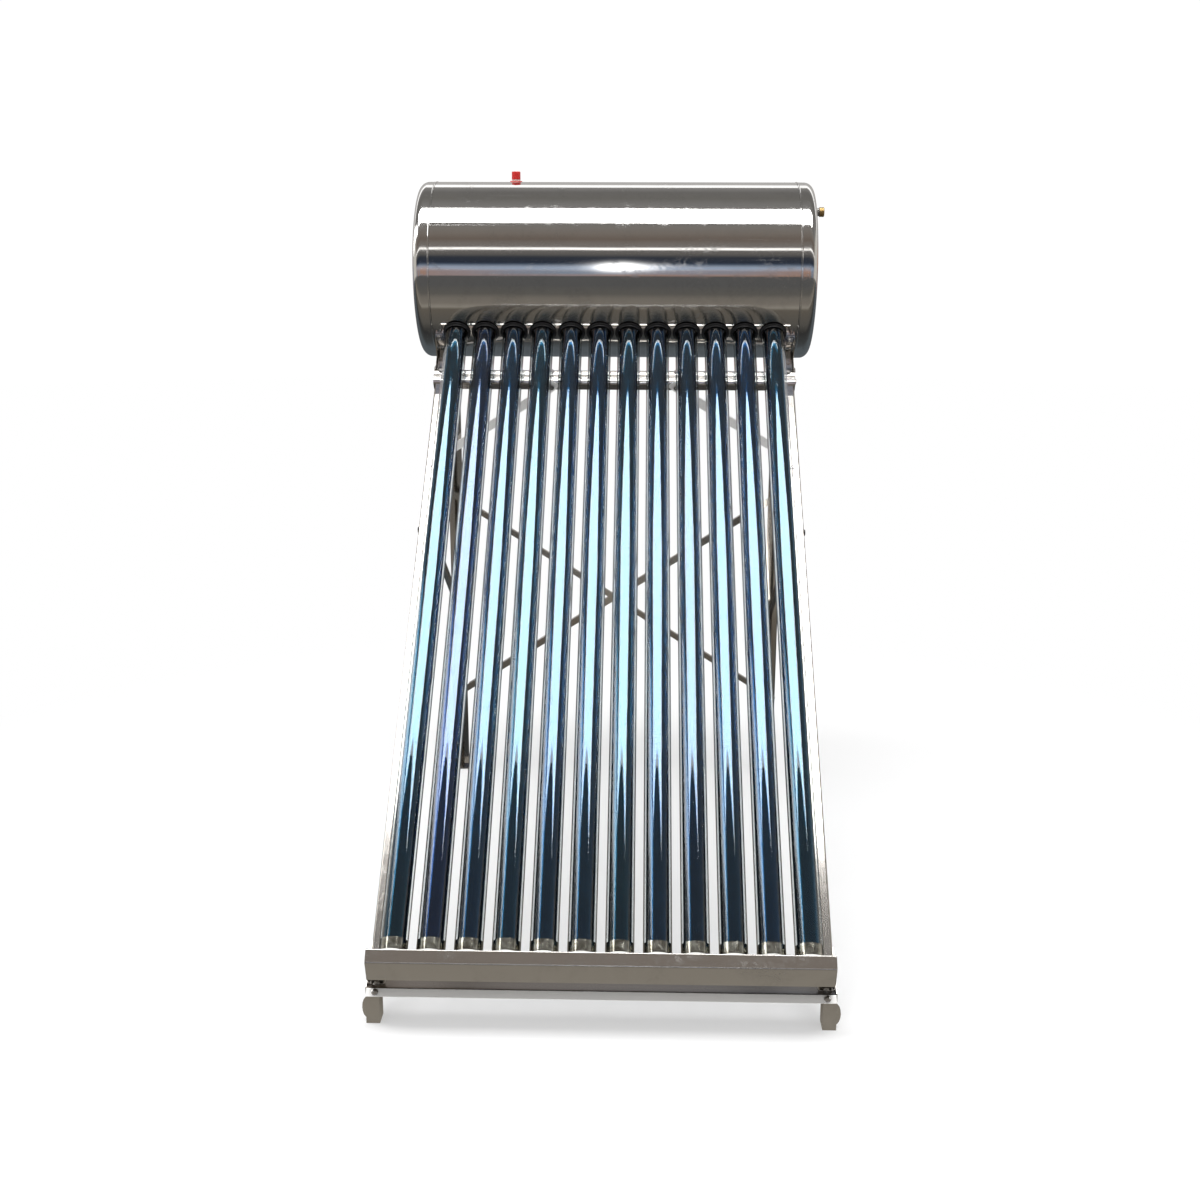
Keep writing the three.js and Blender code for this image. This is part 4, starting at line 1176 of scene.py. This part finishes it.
# The room shows only in the object's reflections; straight to the camera and on the floor the studio is plain.
BACKDROP = (1.02, 1.02, 1.02)
FILL = (0.62, 0.62, 0.62)
THROUGH_GLASS = (0.46, 0.45, 0.42)
rays = sky.add("ShaderNodeLightPath")
plain = sky.mix(rays.outputs["Is Diffuse Ray"], BACKDROP, FILL)
plain = sky.mix(rays.outputs["Is Transmission Ray"], plain, THROUGH_GLASS)
reflected = sky.maths("GREATER_THAN", rays.outputs["Glossy Depth"], 0.5)
sky.link(sky.mix(reflected, plain, room), sky.tree.nodes["Background"].inputs["Color"])


def softbox(name, centre, width, height, radiance):
    light = bpy.data.lights.new(name, "AREA")
    light.shape = "RECTANGLE"
    light.size = width
    light.size_y = height
    light.energy = radiance * math.pi * width * height
    holder = bpy.data.objects.new(name, light)
    scene.collection.objects.link(holder)
    holder.location = centre
    return holder


# A long ceiling panel in front of the tank, and a slanting window band to the left of the tubes.
PANEL_CENTRE = AXIS + Vector((-0.5, -2.0, 7.6))
panel = softbox("ceiling_panel", PANEL_CENTRE, width=11.5, height=3.2, radiance=7.5)
panel.rotation_euler = (0, 0, math.radians(-3))
WINDOW_CENTRE = AXIS + Vector((-8, -0.4, 4.4))
window = softbox("left_window", WINDOW_CENTRE, width=1.9, height=8.6, radiance=3.2)
WINDOW_ALONG = Vector((0, 6.5, -5.9)).normalized()
window_normal = Vector((-1, 0, 0.25))
window_across = WINDOW_ALONG.cross(window_normal).normalized()
window_back = window_across.cross(WINDOW_ALONG)
window.rotation_euler = Matrix((window_across, WINDOW_ALONG, window_back)).transposed().to_euler()

# ---- Camera ----

LENS_MM = 45.57
CAMERA_PLACE = (68.4, -4190.73, 92.47)
PITCH = 0.235621
YAW = 0.025971
ROLL = 0.002753
camera_data = bpy.data.cameras.new("camera")
camera_data.sensor_width = 36
camera_data.lens = LENS_MM
camera_data.clip_end = 100
camera = bpy.data.objects.new("camera", camera_data)
scene.collection.objects.link(camera)
ahead = Vector((-math.sin(YAW) * math.cos(PITCH), math.cos(YAW) * math.cos(PITCH), -math.sin(PITCH)))
right = Vector((math.cos(YAW), math.sin(YAW), 0))
above = right.cross(ahead)
rolled_right = right * math.cos(ROLL) + above * math.sin(ROLL)
rolled_above = above * math.cos(ROLL) - right * math.sin(ROLL)
turn = Matrix((rolled_right, rolled_above, -ahead)).transposed().to_4x4()
camera.matrix_world = Matrix.Translation(at(*CAMERA_PLACE)) @ turn
scene.camera = camera
